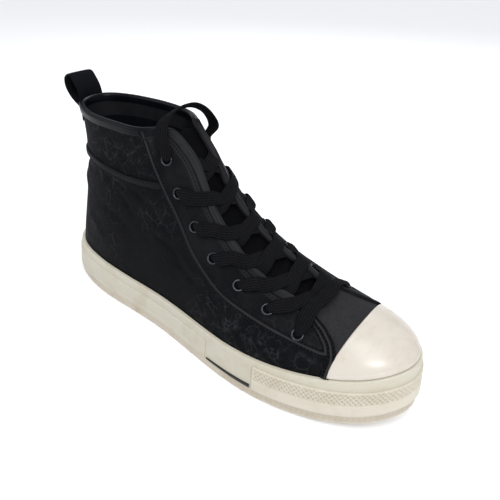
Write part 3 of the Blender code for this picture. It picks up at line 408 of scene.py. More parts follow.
def skin(t, side, v, off=0.0):
    """Point of the creased upper, off metres outside it."""
    t, side, v = np.broadcast_arrays(np.asarray(t, float), np.asarray(side), np.asarray(v, float))
    spot = skin_raw(t, side, v)
    moved = crease(spot, side) * quiet(v) + np.broadcast_to(np.asarray(off, float), t.shape)
    return spot + skin_normal(t, side, v) * moved[..., None]


def unit(vector):
    vector = np.asarray(vector, float)
    return vector / np.linalg.norm(vector, axis=-1, keepdims=True)


def edge_slant(t, side):
    """Sine of the angle between a wall line and the top edge that it meets."""
    small = 2e-3
    along = unit(skin_raw(t + small, side, 1.0) - skin_raw(t - small, side, 1.0))
    up = unit(skin_raw(t, side, 1.0) - skin_raw(t, side, 1.0 - small))
    return np.linalg.norm(np.cross(along, up), axis=-1)


def depth_share(t, side, depth):
    """Share v of the point that lies a depth below the top edge, square to the edge."""
    t = np.atleast_1d(np.asarray(t, float))
    side = np.broadcast_to(np.asarray(side), t.shape)
    depth = np.broadcast_to(np.asarray(depth, float), t.shape) / edge_slant(t, side)
    v = np.linspace(LASTED, 1, 60)
    points = skin_raw(t[:, None], side[:, None], v[None, :])
    steps = np.linalg.norm(np.diff(points, axis=1), axis=-1)
    below = np.concatenate([np.cumsum(steps[:, ::-1], axis=1)[:, ::-1], np.zeros((len(t), 1))], 1)
    return np.array([np.interp(-depth[i], -below[i], v) for i in range(len(t))])


def find_on_skin(side, targets, view):
    """The t and v of the wall's points that a view shows at each place."""
    targets = np.atleast_2d(np.asarray(targets, float))
    t, v = np.meshgrid(np.linspace(0.02, 0.98, 97), np.linspace(LASTED, 1, 61), indexing="ij")
    points = skin_raw(t, side, v)[..., view]
    found = []
    for target in targets:
        miss = ((points - target) ** 2).sum(-1)
        best = np.unravel_index(np.argmin(miss), miss.shape)
        found.append((t[best], v[best]))
    at = np.array(found)
    small = 1e-4
    for _ in range(12):
        here = skin_raw(at[:, 0], side, at[:, 1])[:, view]
        by_t = (skin_raw(at[:, 0] + small, side, at[:, 1])[:, view] - here) / small
        by_v = (here - skin_raw(at[:, 0], side, at[:, 1] - small)[:, view]) / small
        slopes = np.stack([by_t, by_v], -1)
        step = np.linalg.solve(slopes + np.eye(2) * 1e-9, (targets - here)[..., None])[..., 0]
        at = np.clip(at + np.clip(step, -0.05, 0.05), [0.0, LASTED], [1.0, 1.0])
    return at


SIDE_VIEW = [0, 2]
PLAN_VIEW = [0, 1]


def smooth_path(points, count):
    """Even points on a smooth curve through a few given ones."""
    points = np.asarray(points, float)
    steps = np.linalg.norm(np.diff(points, axis=0), axis=1)
    knots = np.concatenate([[0], np.cumsum(steps)]) / steps.sum()
    slopes = np.gradient(points, knots, axis=0)
    at = np.linspace(0, 1, count)
    i = np.clip(np.searchsorted(knots, at) - 1, 0, len(knots) - 2)
    h = (knots[i + 1] - knots[i])[:, None]
    s = ((at - knots[i]) / (knots[i + 1] - knots[i]))[:, None]
    return ((2 * s ** 3 - 3 * s ** 2 + 1) * points[i] + (s ** 3 - 2 * s ** 2 + s) * h * slopes[i]
            + (3 * s ** 2 - 2 * s ** 3) * points[i + 1] + (s ** 3 - s ** 2) * h * slopes[i + 1])


def side_view(table):
    return np.array([(x * LENGTH, z * COLLAR_HEIGHT) for x, z in table])


def lengths(path):
    """Distance along a polyline of each of its points."""
    steps = np.linalg.norm(np.diff(path[:, :3], axis=0), axis=1)
    return np.concatenate([[0.0], np.cumsum(steps)])


def even_lines(low, high, count):
    """Values of t that lie evenly along the sole's outline."""
    fine = np.linspace(low, high, 2001)
    run = lengths(outline(fine, MEDIAL))
    return np.interp(np.linspace(0, run[-1], count), run, fine)


def all_round(count):
    """Lines round the whole shoe as t and side, from the heel by the medial side and back."""
    t = even_lines(0, 1, count + 1)
    ts = np.concatenate([t, t[-2::-1]])
    sides = np.concatenate([np.full(count + 1, MEDIAL), np.full(count, LATERAL)])
    return ts, sides


def round_heel(t_medial, t_lateral, count):
    medial = even_lines(0.0, t_medial, count + 1)[::-1]
    lateral = even_lines(0.0, t_lateral, count + 1)[1:]
    sides = np.concatenate([np.full(count + 1, MEDIAL), np.full(count, LATERAL)])
    return np.concatenate([medial, lateral]), sides


def round_toe(t_end, count):
    medial = even_lines(t_end, 1.0, count + 1)
    lateral = even_lines(t_end, 1.0, count + 1)[::-1][1:]
    sides = np.concatenate([np.full(count + 1, MEDIAL), np.full(count, LATERAL)])
    return np.concatenate([medial, lateral]), sides


# Pieces

def select_only(piece):
    bpy.ops.object.select_all(action="DESELECT")
    piece.select_set(True)
    bpy.context.view_layer.objects.active = piece


def lay(name, points, looks, uv=None, pick=None, close=(False, False), smooth=40, masks=None):
    """A grid primitive laid over points[i, j], welded where it meets itself and closed."""
    across, up = points.shape[:2]
    bpy.ops.object.select_all(action="DESELECT")
    bpy.ops.mesh.primitive_grid_add(x_subdivisions=across - 1, y_subdivisions=up - 1, size=1)
    piece = bpy.context.object
    piece.name = name
    mesh = piece.data
    mesh.name = name
    flat = points.transpose(1, 0, 2).reshape(-1, 3)
    mesh.vertices.foreach_set("co", flat.astype(np.float32).ravel())
    if uv is None:
        uv = surface_uv(points)
    corners = np.empty(len(mesh.loops), np.int32)
    mesh.loops.foreach_get("vertex_index", corners)
    flat_uv = uv.transpose(1, 0, 2).reshape(-1, 2)
    mesh.uv_layers.active.data.foreach_set("uv", flat_uv[corners].astype(np.float32).ravel())
    for word, values in (masks or {}).items():
        made = mesh.attributes.new(word, "FLOAT", "POINT")
        made.data.foreach_set("value", values.T.astype(np.float32).ravel())
    for look in looks:
        mesh.materials.append(look)
    if pick is not None:
        slots = np.broadcast_to(pick[None, :], (across - 1, up - 1))
        mesh.polygons.foreach_set("material_index", slots.T.astype(np.int32).ravel())
    mesh.update()
    select_only(piece)
    bpy.ops.object.mode_set(mode="EDIT")
    bpy.ops.mesh.select_all(action="SELECT")
    bpy.ops.mesh.remove_doubles(threshold=2e-6)
    if close[0] or close[1]:
        bpy.ops.mesh.fill_holes(sides=0)
    bpy.ops.mesh.select_all(action="SELECT")
    bpy.ops.mesh.normals_make_consistent(inside=False)
    bpy.ops.object.mode_set(mode="OBJECT")
    bpy.ops.object.shade_smooth_by_angle(angle=math.radians(smooth))
    return piece


def surface_uv(points):
    """Place on the sheet in metres, measured along its middle row and column."""
    across, up = points.shape[:2]
    along = lengths(points[:, up // 2])
    rise = lengths(points[across // 2])
    return np.stack(np.meshgrid(along, rise, indexing="ij"), -1)


def ride(piece, slot, *nodes):
    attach(piece, "root")
    if nodes:
        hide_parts(*nodes)
    return piece


def sweep(name, sections, looks, slot, nodes=(), closed=False, uv=None, smooth=40, pick=None,
          masks=None):
    """A closed solid through rings of points, one ring for each place along it."""
    rings = np.asarray(sections, float)
    rings = np.concatenate([rings, rings[:, :1]], axis=1)
    if closed:
        rings = np.concatenate([rings, rings[:1]], axis=0)
    if uv is None:
        uv = surface_uv(rings)
    masks = {word: np.concatenate([values, values[:, :1]], axis=1)
             for word, values in (masks or {}).items()}
    piece = lay(name, rings, looks, uv=uv, close=(not closed, False), smooth=smooth, pick=pick,
                masks=masks)
    return ride(piece, slot, *nodes)


def stitch_block():
    """Corners and faces of one stitch, along X; stitches() sinks its ends under the surface."""
    bpy.ops.object.select_all(action="DESELECT")
    bpy.ops.mesh.primitive_uv_sphere_add(segments=6, ring_count=5, radius=1.0)
    ball = bpy.context.object
    corners = np.array([v.co[:] for v in ball.data.vertices])
    faces = [list(p.vertices) for p in ball.data.polygons]
    bpy.data.objects.remove(ball, do_unlink=True)
    corners = corners[:, [2, 0, 1]]
    return corners, faces


STITCH_CORNERS, STITCH_FACES = stitch_block()
PITCH = 0.00225


def stitches(name, rows, look, slot, length=0.0017, pitch=PITCH, thick=0.00030, sink=0.00016):
    """Rows of stitches in one mesh. Each row is a path with the outward direction at each point."""
    points = []
    faces = []
    for path, normals in rows:
        run = lengths(path)
        count = max(2, int(run[-1] / pitch))
        at = (np.arange(count) + 0.5) * pitch
        both = np.concatenate([path, normals], 1)
        here = np.stack([np.interp(at, run, both[:, k]) for k in range(6)], -1)
        ahead = np.stack([np.interp(at + 1e-4, run, path[:, k]) for k in range(3)], -1)
        behind = np.stack([np.interp(at - 1e-4, run, path[:, k]) for k in range(3)], -1)
        tangent = unit(ahead - behind)
        normal = unit(here[:, 3:] - tangent * (here[:, 3:] * tangent).sum(-1, keepdims=True))
        aside = np.cross(normal, tangent)
        for i in range(count):
            local = STITCH_CORNERS * np.array([length / 2, thick, thick])
            local = local.copy()
            local[:, 2] += thick * 0.4 - sink - thick * 1.6 * STITCH_CORNERS[:, 0] ** 2
            base = len(points)
            placed = here[i, :3] + local[:, :1] * tangent[i] + local[:, 1:2] * aside[i]
            placed = placed + local[:, 2:] * normal[i]
            points.extend(placed.tolist())
            faces.extend([[base + k for k in face] for face in STITCH_FACES])
    mesh = bpy.data.meshes.new(name)
    mesh.from_pydata(points, [], faces)
    mesh.materials.append(look)
    piece = bpy.data.objects.new(name, mesh)
    bpy.context.scene.collection.objects.link(piece)
    select_only(piece)
    bpy.ops.object.mode_set(mode="EDIT")
    bpy.ops.mesh.select_all(action="SELECT")
    bpy.ops.mesh.normals_make_consistent(inside=False)
    bpy.ops.object.mode_set(mode="OBJECT")
    bpy.ops.object.shade_smooth()
    return ride(piece, slot)


# Camera, light and floor

def set_camera():
    azimuth = 0.63405
    elevation = 0.57047
    roll = 0.01276
    distance = 0.34852
    back = Vector((math.sin(azimuth) * math.cos(elevation),
                   -math.cos(azimuth) * math.cos(elevation), math.sin(elevation)))
    side = Vector((math.cos(azimuth), math.sin(azimuth), 0.0))
    up = back.cross(side)
    aim = Vector((0.0, -SHIFT, 0.060)) + side * 0.02162 + up * 0.0010
    right = math.cos(roll) * side + math.sin(roll) * up
    top = -math.sin(roll) * side + math.cos(roll) * up
    data = bpy.data.cameras.new("camera")
    data.sensor_width = 36
    data.lens = 36
    data.clip_start = 0.01
    camera = bpy.data.objects.new("camera", data)
    bpy.context.scene.collection.objects.link(camera)
    turn = Matrix((right, top, back)).transposed()
    camera.matrix_world = Matrix.Translation(aim + back * distance) @ turn.to_4x4()
    bpy.context.scene.camera = camera


LIGHTS = [
    # name, place, aim, size, power
    ("key", (0.62, -0.42, 0.62), (0.05, 0, 0.05), (0.20, 0.20), 4.0),
    ("fill", (-0.70, -0.75, 0.75), (0, 0, 0.07), (0.7, 0.5), 2.4),
    ("rim", (-0.30, 0.75, 0.80), (0, 0, 0.08), (0.6, 0.4), 4.0),
]


def add_light(name, place, aim, size, power):
    data = bpy.data.lights.new(name, "AREA")
    data.shape = "RECTANGLE"
    data.size = size[0]
    data.size_y = size[1]
    data.energy = power
    light = bpy.data.objects.new(name, data)
    light.location = place
    light.rotation_euler = (Vector(aim) - Vector(place)).to_track_quat("-Z", "Y").to_euler()
    bpy.context.scene.collection.objects.link(light)


def add_sun(name, direction, power):
    data = bpy.data.lights.new(name, "SUN")
    data.energy = power
    data.angle = math.radians(35)
    light = bpy.data.objects.new(name, data)
    light.rotation_euler = Vector(direction).to_track_quat("Z", "Y").to_euler()
    bpy.context.scene.collection.objects.link(light)


def set_studio():
    bpy.context.scene.view_settings.view_transform = "Standard"
    for row in LIGHTS:
        add_light(*row)
    add_sun("overhead", (0.25, -0.25, 1.0), 1.1)
    world = bpy.data.worlds.new("studio")
    world.use_nodes = True
    shade = world.node_tree.nodes["Background"]
    shade.inputs["Color"].default_value = (0.93, 0.95, 1.0, 1)
    shade.inputs["Strength"].default_value = 0.62
    bpy.context.scene.world = world
    bpy.ops.mesh.primitive_plane_add(size=6, location=(0, 0, -0.0002))
    floor = bpy.context.object
    floor.name = "floor"
    look = bpy.data.materials.new("pale_floor")
    look.use_nodes = True
    shader = look.node_tree.nodes["Principled BSDF"]
    shader.inputs["Base Color"].default_value = (0.95, 0.95, 0.95, 1)
    shader.inputs["Roughness"].default_value = 0.8
    floor.data.materials.append(look)


set_camera()
set_studio()


# Finishes

def node_tree(name):
    look = bpy.data.materials.new(name)
    look.use_nodes = True
    return look, look.node_tree


class Maker:
    """Adds and joins the nodes of one tree."""

    def __init__(self, tree):
        self.tree = tree

    def node(self, kind, **settings):
        made = self.tree.nodes.new(kind)
        for word, value in settings.items():
            setattr(made, word, value)
        return made

    def join(self, source, target):
        self.tree.links.new(source, target)

    def feed(self, socket, value):
        if hasattr(value, "is_output"):
            self.join(value, socket)
        else:
            socket.default_value = value

    def math(self, operation, a, b=0.0, c=0.0, clamp=False):
        made = self.node("ShaderNodeMath", operation=operation, use_clamp=clamp)
        for socket, value in zip(made.inputs, (a, b, c)):
            self.feed(socket, value)
        return made.outputs[0]

    def mix(self, share, a, b, blend="MIX"):
        made = self.node("ShaderNodeMix", data_type="RGBA", blend_type=blend)
        self.feed(made.inputs[0], share)
        self.feed(made.inputs[6], a)
        self.feed(made.inputs[7], b)
        return made.outputs[2]

    def ramp(self, value, low, high, to_low=0.0, to_high=1.0):
        made = self.node("ShaderNodeMapRange", clamp=True)
        self.feed(made.inputs["Value"], value)
        self.feed(made.inputs["From Min"], low)
        self.feed(made.inputs["From Max"], high)
        self.feed(made.inputs["To Min"], to_low)
        self.feed(made.inputs["To Max"], to_high)
        return made.outputs[0]

    def noise(self, vector, scale, detail=3.0, rough=0.5, distortion=0.0):
        made = self.node("ShaderNodeTexNoise")
        self.feed(made.inputs["Vector"], vector)
        self.feed(made.inputs["Scale"], scale)
        made.inputs["Detail"].default_value = detail
        made.inputs["Roughness"].default_value = rough
        made.inputs["Distortion"].default_value = distortion
        return made.outputs["Fac"]

    def cells(self, vector, scale, feature="F1"):
        made = self.node("ShaderNodeTexVoronoi", feature=feature)
        self.feed(made.inputs["Vector"], vector)
        self.feed(made.inputs["Scale"], scale)
        return made.outputs["Distance"]


def new_group(name, inputs, outputs):
    """A shader node group with named value or colour sockets."""
    tree = bpy.data.node_groups.new(name, "ShaderNodeTree")
    for word, kind in inputs:
        tree.interface.new_socket(name=word, in_out="INPUT", socket_type=kind)
    for word, kind in outputs:
        tree.interface.new_socket(name=word, in_out="OUTPUT", socket_type=kind)
    maker = Maker(tree)
    return tree, maker, maker.node("NodeGroupInput"), maker.node("NodeGroupOutput")


FLOAT = "NodeSocketFloat"
VECTOR = "NodeSocketVector"


def build_grain():
    """Leather grain: small cells, pores and soft wrinkles, as a height."""
    tree, m, given, out = new_group("leather_grain", [("Vector", VECTOR), ("Cell", FLOAT)],
                                    [("Height", FLOAT), ("Wear", FLOAT)])
    vector = given.outputs["Vector"]
    cell = given.outputs["Cell"]
    small = m.cells(vector, cell)
    pores = m.noise(vector, m.math("MULTIPLY", cell, 1.7), 2.0)
    soft = m.noise(vector, m.math("MULTIPLY", cell, 0.16), 5.0, 0.6, 0.8)
    height = m.math("ADD", m.math("MULTIPLY", small, 0.45), m.math("MULTIPLY", pores, 0.25))
    height = m.math("ADD", height, m.math("MULTIPLY", soft, 0.9))
    m.join(height, out.inputs["Height"])
    m.join(m.ramp(m.noise(vector, 42.0, 5.0, 0.65, 0.6), 0.42, 0.72), out.inputs["Wear"])
    return tree


def build_crackle():
    """Fine dry lines that cross a finish, as a mask."""
    tree, m, given, out = new_group(
        "crackle", [("Vector", VECTOR), ("Scale", FLOAT), ("Width", FLOAT), ("Patchy", FLOAT)],
        [("Lines", FLOAT)])
    vector = given.outputs["Vector"]
    warp = m.node("ShaderNodeTexNoise")
    m.join(vector, warp.inputs["Vector"])
    warp.inputs["Scale"].default_value = 60.0
    warp.inputs["Detail"].default_value = 3.0
    bent = m.node("ShaderNodeVectorMath", operation="MULTIPLY_ADD")
    m.join(warp.outputs["Color"], bent.inputs[0])
    bent.inputs[1].default_value = (0.006, 0.006, 0.006)
    m.join(vector, bent.inputs[2])
    edges = m.cells(bent.outputs[0], given.outputs["Scale"], "DISTANCE_TO_EDGE")
    lines = m.math("SUBTRACT", 1.0, m.ramp(edges, 0.0, given.outputs["Width"]))
    breaks = m.ramp(m.noise(vector, 160.0, 2.0), 0.40, 0.62)
    patches = m.ramp(m.noise(vector, 22.0, 2.0), given.outputs["Patchy"], 0.66)
    m.join(m.math("MULTIPLY", m.math("MULTIPLY", lines, breaks), patches), out.inputs["Lines"])
    return tree


def build_weave():
    """Woven threads from the piece's own UV in metres, as a height."""
    tree, m, given, out = new_group(
        "weave", [("UV", VECTOR), ("Across", FLOAT), ("Along", FLOAT), ("Ribbed", FLOAT)],
        [("Height", FLOAT)])
    split = m.node("ShaderNodeSeparateXYZ")
    m.join(given.outputs["UV"], split.inputs[0])
    turn = 2 * math.pi
    u = m.math("MULTIPLY", m.math("MULTIPLY", split.outputs[1], given.outputs["Across"]), turn)
    w = m.math("MULTIPLY", m.math("MULTIPLY", split.outputs[0], given.outputs["Along"]), turn)
    rib = m.math("POWER", m.math("ABSOLUTE", m.math("SINE", m.math("MULTIPLY", u, 0.5))), 0.6)
    knit = m.math("SINE", m.math("ADD", w, m.math("MULTIPLY", m.math("SINE", u), 1.2)))
    plain = m.math("MULTIPLY", m.math("SINE", u), m.math("SINE", w))
    ribbed = m.math("ADD", rib, m.math("MULTIPLY", knit, 0.22))
    mixed = m.node("ShaderNodeMix", data_type="FLOAT")
    m.join(given.outputs["Ribbed"], mixed.inputs[0])
    m.join(plain, mixed.inputs[2])
    m.join(ribbed, mixed.inputs[3])
    m.join(mixed.outputs[0], out.inputs["Height"])
    return tree


def build_grime():
    """Smudges and settled dirt on rubber: a share of dirt and one of faint stains."""
    tree, m, given, out = new_group("grime", [("Vector", VECTOR), ("Scale", FLOAT)],
                                    [("Dirt", FLOAT), ("Stain", FLOAT), ("Fine", FLOAT)])
    vector = given.outputs["Vector"]
    scale = given.outputs["Scale"]
    wide = m.noise(vector, scale, 6.0, 0.62, 1.4)
    narrow = m.noise(vector, m.math("MULTIPLY", scale, 5.5), 5.0, 0.7, 2.2)
    m.join(m.ramp(m.math("MULTIPLY", wide, narrow), 0.26, 0.44), out.inputs["Dirt"])
    m.join(m.ramp(wide, 0.45, 0.75), out.inputs["Stain"])
    m.join(m.noise(vector, 2600.0, 2.0), out.inputs["Fine"])
    return tree


GRAIN = build_grain()
CRACKLE = build_crackle()
WEAVE = build_weave()
GRIME = build_grime()


def use_group(m, tree, **values):
    made = m.node("ShaderNodeGroup", node_tree=tree)
    for word, value in values.items():
        m.feed(made.inputs[word], value)
    return made.outputs


def bump(m, shader, height, distance, strength=1.0):
    made = m.node("ShaderNodeBump")
    made.inputs["Distance"].default_value = distance
    made.inputs["Strength"].default_value = strength
    m.join(height, made.inputs["Height"])
    m.join(made.outputs[0], shader.inputs["Normal"])


def pin_rows(m, color, height):
    """Needle holes and sewn rows: painted shade in the holes and along each row's groove, and painted
    sheen, partly rub wear, on the raised ridge.
    """
    off = m.node("ShaderNodeAttribute", attribute_name="row_off").outputs["Fac"]
    run = m.node("ShaderNodeAttribute", attribute_name="row_run").outputs["Fac"]
    turn = m.math("FRACT", m.math("ADD", m.math("DIVIDE", run, PITCH), 0.5))
    along = m.math("MULTIPLY", m.math("SUBTRACT", turn, 0.5), PITCH)
    far = m.math("SQRT", m.math("ADD", m.math("MULTIPLY", along, along),
                                m.math("MULTIPLY", off, off)))
    pin = m.ramp(far, 0.00022, 0.00062, 1.0, 0.0)
    trough_shade = m.ramp(off, 0.0002, 0.0008, 0.55, 0.0)
    ridge = m.node("ShaderNodeAttribute", attribute_name="ridge").outputs["Fac"]
    # Painted sheen, partly rub wear: the raised ridge along the rows is made paler
    color = m.mix(m.math("MULTIPLY", ridge, 0.80), color, (0.0300, 0.0305, 0.0330, 1))
    # Painted shade: near black in the needle holes and along each sewn row's groove
    dark = m.math("MAXIMUM", pin, trough_shade)
    color = m.mix(dark, color, (0.0008, 0.0008, 0.0010, 1))
    return color, m.math("SUBTRACT", height, m.math("MULTIPLY", pin, 1.2))


def leather(name, dark, worn, cell, rough, depth, lines=0.0, ribs=0.0, wear=0.6, shine=0.05,
            rows=False, bare=False):
    """Leather with grain, worn patches and dry lines; ribs add a fine upright texture."""
    look, tree = node_tree(name)
    m = Maker(tree)
    shader = tree.nodes["Principled BSDF"]
    place = m.node("ShaderNodeTexCoord").outputs["Object"]
    grain = use_group(m, GRAIN, Vector=place, Cell=cell)
    color = m.mix(m.math("MULTIPLY", grain["Wear"], wear), (*dark, 1), (*worn, 1))
    speck = m.ramp(m.noise(place, 1500.0, 2.0, 0.6), 0.50, 0.80)
    color = m.mix(m.math("MULTIPLY", speck, 0.35), color, (*worn, 1))
    height = grain["Height"]
    if bare:
        front = m.node("ShaderNodeAttribute", attribute_name="front").outputs["Fac"]
        mottle = m.ramp(m.noise(place, 420.0, 4.0, 0.65), 0.30, 0.70, 0.35, 0.75)
        matte = m.mix(mottle, (0.0120, 0.0118, 0.0128, 1), (0.0290, 0.0285, 0.0300, 1))
        color = m.mix(front, color, matte)
    if lines > 0:
        split = m.node("ShaderNodeSeparateXYZ")
        m.join(place, split.inputs[0])
        front = m.math("MULTIPLY", m.ramp(split.outputs[0], -0.010, 0.020),
                       m.ramp(split.outputs[2], 0.070, 0.055))
        blocks = use_group(m, CRACKLE, Vector=place, Scale=150.0, Width=0.07, Patchy=0.10)["Lines"]
        dry = use_group(m, CRACKLE, Vector=place, Scale=95.0, Width=0.05, Patchy=0.42)["Lines"]
        dry = m.math("MAXIMUM", dry, m.math("MULTIPLY", blocks, front))
        fine = use_group(m, CRACKLE, Vector=place, Scale=260.0, Width=0.06, Patchy=0.52)["Lines"]
        both = m.math("MAXIMUM", dry, m.math("MULTIPLY", fine, 0.6))
        pale = tuple(c * 3.2 for c in worn)
        color = m.mix(m.math("MULTIPLY", both, lines), color, (*pale, 1))
        height = m.math("SUBTRACT", height, m.math("MULTIPLY", both, 0.5))
    if ribs > 0:
        tall = m.node("ShaderNodeMapping")
        m.join(place, tall.inputs["Vector"])
        tall.inputs["Scale"].default_value = (1.0, 1.0, 0.10)
        stripes = m.noise(tall.outputs[0], 1100.0, 3.0, 0.6)
        split = m.node("ShaderNodeSeparateXYZ")
        m.join(place, split.inputs[0])
        above = m.ramp(split.outputs[2], 0.100, 0.112)
        height = m.math("ADD", height, m.math("MULTIPLY", m.math("MULTIPLY", stripes, above), ribs))
    m.join(m.ramp(grain["Wear"], 0.0, 1.0, rough - 0.05, rough + 0.12), shader.inputs["Roughness"])
    if rows:
        color, height = pin_rows(m, color, height)
    m.join(color, shader.inputs["Base Color"])
    shader.inputs["Specular IOR Level"].default_value = shine
    bump(m, shader, height, depth)
    return look


def woven(name, color, worn, across, along, ribbed, depth, rough=0.85):
    """Woven cloth or webbing on the piece's own UV, with painted shade in the gaps between threads
    and a painted highlight on the thread tops.
    """
    look, tree = node_tree(name)
    m = Maker(tree)
    shader = tree.nodes["Principled BSDF"]
    coord = m.node("ShaderNodeTexCoord")
    threads = use_group(m, WEAVE, UV=coord.outputs["UV"], Across=across, Along=along,
                        Ribbed=ribbed)["Height"]
    fuzz = m.noise(coord.outputs["Object"], 900.0, 3.0, 0.65)
    # Painted shade and highlight: the thread height darkens the gaps and pales the thread tops toward
    # the worn colour, mixed with a random fuzz tone
    shade = m.ramp(m.math("ADD", m.math("MULTIPLY", threads, 0.5), fuzz), 0.3, 1.3)
    m.join(m.mix(shade, (*color, 1), (*worn, 1)), shader.inputs["Base Color"])
    m.join(m.ramp(fuzz, 0.3, 0.7, rough - 0.06, rough + 0.06), shader.inputs["Roughness"])
    shader.inputs["Specular IOR Level"].default_value = 0.04
    bump(m, shader, m.math("ADD", threads, m.math("MULTIPLY", fuzz, 0.5)), depth)
    return look


def rubber(name, color, dirt, amount, rough, stain_scale=38.0, pits=None):
    """Cream rubber with faint smudges, stains, a fine moulded skin and, where a pits colour is given,
    painted shade in the pits.
    """
    look, tree = node_tree(name)
    m = Maker(tree)
    shader = tree.nodes["Principled BSDF"]
    place = m.node("ShaderNodeTexCoord").outputs["Object"]
    marks = use_group(m, GRIME, Vector=place, Scale=stain_scale)
    stained = tuple(c * k for c, k in zip(color, (0.93, 0.90, 0.84)))
    shade = m.mix(marks["Stain"], (*color, 1), (*stained, 1))
    shade = m.mix(m.math("MULTIPLY", marks["Dirt"], amount), shade, (*dirt, 1))
    # Painted shade: the lattice pits are darkened toward the pits colour
    if pits is not None:
        pit_shade_share = m.node("ShaderNodeAttribute", attribute_name="pit").outputs["Fac"]
        shade = m.mix(m.ramp(pit_shade_share, 0.30, 1.0, 0.0, 0.50), shade, (*pits, 1))
    m.join(shade, shader.inputs["Base Color"])
    m.join(m.ramp(marks["Dirt"], 0.0, 1.0, rough, rough + 0.2), shader.inputs["Roughness"])
    shader.inputs["Specular IOR Level"].default_value = 0.4
    height = m.math("ADD", m.math("MULTIPLY", marks["Fine"], 0.4), marks["Dirt"])
    bump(m, shader, height, 0.00004)
    return look


def metal(name, color, rough):
    look, tree = node_tree(name)
    m = Maker(tree)
    shader = tree.nodes["Principled BSDF"]
    place = m.node("ShaderNodeTexCoord").outputs["Object"]
    wear = m.noise(place, 700.0, 4.0, 0.6)
    lighter = tuple(min(1.0, c * 2.4) for c in color)
    m.join(m.mix(m.ramp(wear, 0.5, 0.75), (*color, 1), (*lighter, 1)), shader.inputs["Base Color"])
    m.join(m.ramp(wear, 0.3, 0.7, rough - 0.08, rough + 0.12), shader.inputs["Roughness"])
    shader.inputs["Metallic"].default_value = 1.0
    bump(m, shader, wear, 0.00003)
    return look


CREAM = (0.480, 0.455, 0.375)
LOOKS = {
    "quarter": leather("quarter_leather", (0.0026, 0.0029, 0.0038), (0.0088, 0.0091, 0.0100),
                       1250.0, 0.66, 0.00040, lines=0.85, ribs=0.9, shine=0.035, bare=True),
    "eyestay": leather("eyestay_leather", (0.0032, 0.0035, 0.0042), (0.0110, 0.0112, 0.0120),
                       # The eyestay's sewn rows carry painted shade in their holes and grooves and
                       # painted sheen on their ridges
                       1400.0, 0.66, 0.00030, lines=0.30, wear=0.8, shine=0.04, rows=True),
    "band": leather("band_leather", (0.0050, 0.0053, 0.0062), (0.0105, 0.0108, 0.0118),
                    1500.0, 0.55, 0.00012, shine=0.07),
    "trim": leather("collar_trim", (0.0016, 0.0020, 0.0032), (0.0045, 0.0052, 0.0072),
                    1700.0, 0.34, 0.00006, shine=0.12),
    "satin": leather("throat_trim", (0.0085, 0.0088, 0.0100), (0.0200, 0.0205, 0.0222),
                     1700.0, 0.50, 0.00008, shine=0.10),
    # Woven looks: the second colour is the painted highlight on thread tops, mixed with random fuzz
    # tone; the first is also the gaps' painted shade
    "lining": woven("lining_cloth", (0.0022, 0.0032, 0.0045), (0.0065, 0.0080, 0.0105),
                    1400.0, 1400.0, 0.0, 0.00012),
    "tongue": woven("tongue_cloth", (0.0020, 0.0021, 0.0026), (0.0055, 0.0055, 0.0062),
                    1100.0, 1100.0, 0.0, 0.00014),
    "lace": woven("lace_webbing", (0.0012, 0.0013, 0.0016), (0.0100, 0.0102, 0.0112),
                  620.0, 900.0, 1.0, 0.00045),
    "strap": woven("strap_webbing", (0.0035, 0.0040, 0.0052), (0.0095, 0.0100, 0.0115),
                   800.0, 1500.0, 0.3, 0.00014),
    "thread": woven("black_thread", (0.0080, 0.0080, 0.0085), (0.0200, 0.0200, 0.0205),
                    2200.0, 2200.0, 0.0, 0.00004, rough=0.6),
    "rubber": rubber("cream_side_wall", CREAM, (0.34, 0.29, 0.21), 0.16, 0.50),
    # The pits colours of the bumper and the outsole are painted shade in their lattice pits
    "bumper": rubber("cream_bumper", (0.520, 0.485, 0.410), (0.36, 0.30, 0.22), 0.18, 0.55,
                     pits=(0.30, 0.24, 0.17)),
    "cap": rubber("cream_toe_cap", (0.520, 0.480, 0.422), (0.40, 0.375, 0.33), 0.50, 0.30, 30.0),
    "outsole": rubber("cream_outsole", (0.490, 0.440, 0.362), (0.26, 0.20, 0.15), 0.40, 0.62,
                      pits=(0.27, 0.21, 0.15)),
    "line": rubber("black_side_line", (0.008, 0.008, 0.008), (0.04, 0.036, 0.03), 0.3, 0.50),
    "steel": metal("gunmetal_ring", (0.048, 0.049, 0.055), 0.38),
}



# Pieces of the upper

def panel(name, place, top, under, looks, slot, nodes=(), closed=False, masks=None, pick=None,
          smooth=40):
    """A closed solid between a relief and an underside, on the surface that place(off) gives."""

    def wrap(upper, lower):
        rows = np.concatenate([upper, lower[:, ::-1], upper[:, :1]], axis=1)
        if closed:
            return rows
        ends = []
        for k in (0, -1):
            edge = lower[k][None]
            ends.append(np.concatenate([edge, edge[:, ::-1], edge[:, :1]], axis=1))
        return np.concatenate([ends[0], rows, ends[1]], axis=0)

    points = wrap(place(top), place(np.full(top.shape, under)))
    spread = {word: wrap(values, values) for word, values in (masks or {}).items()}
    if pick is not None:
        pick = np.concatenate([pick, np.zeros(points.shape[1] - 1 - len(pick), int)])
    piece = lay(name, points, looks, masks=spread, pick=pick, smooth=smooth)
    return ride(piece, slot, *nodes)


def rolled(distance, height, radius):
    """Height of a sheet whose border is rounded, at a distance inside the border."""
    inside = np.clip(radius - distance, 0, radius)
    return height - radius + np.sqrt(radius ** 2 - inside ** 2)


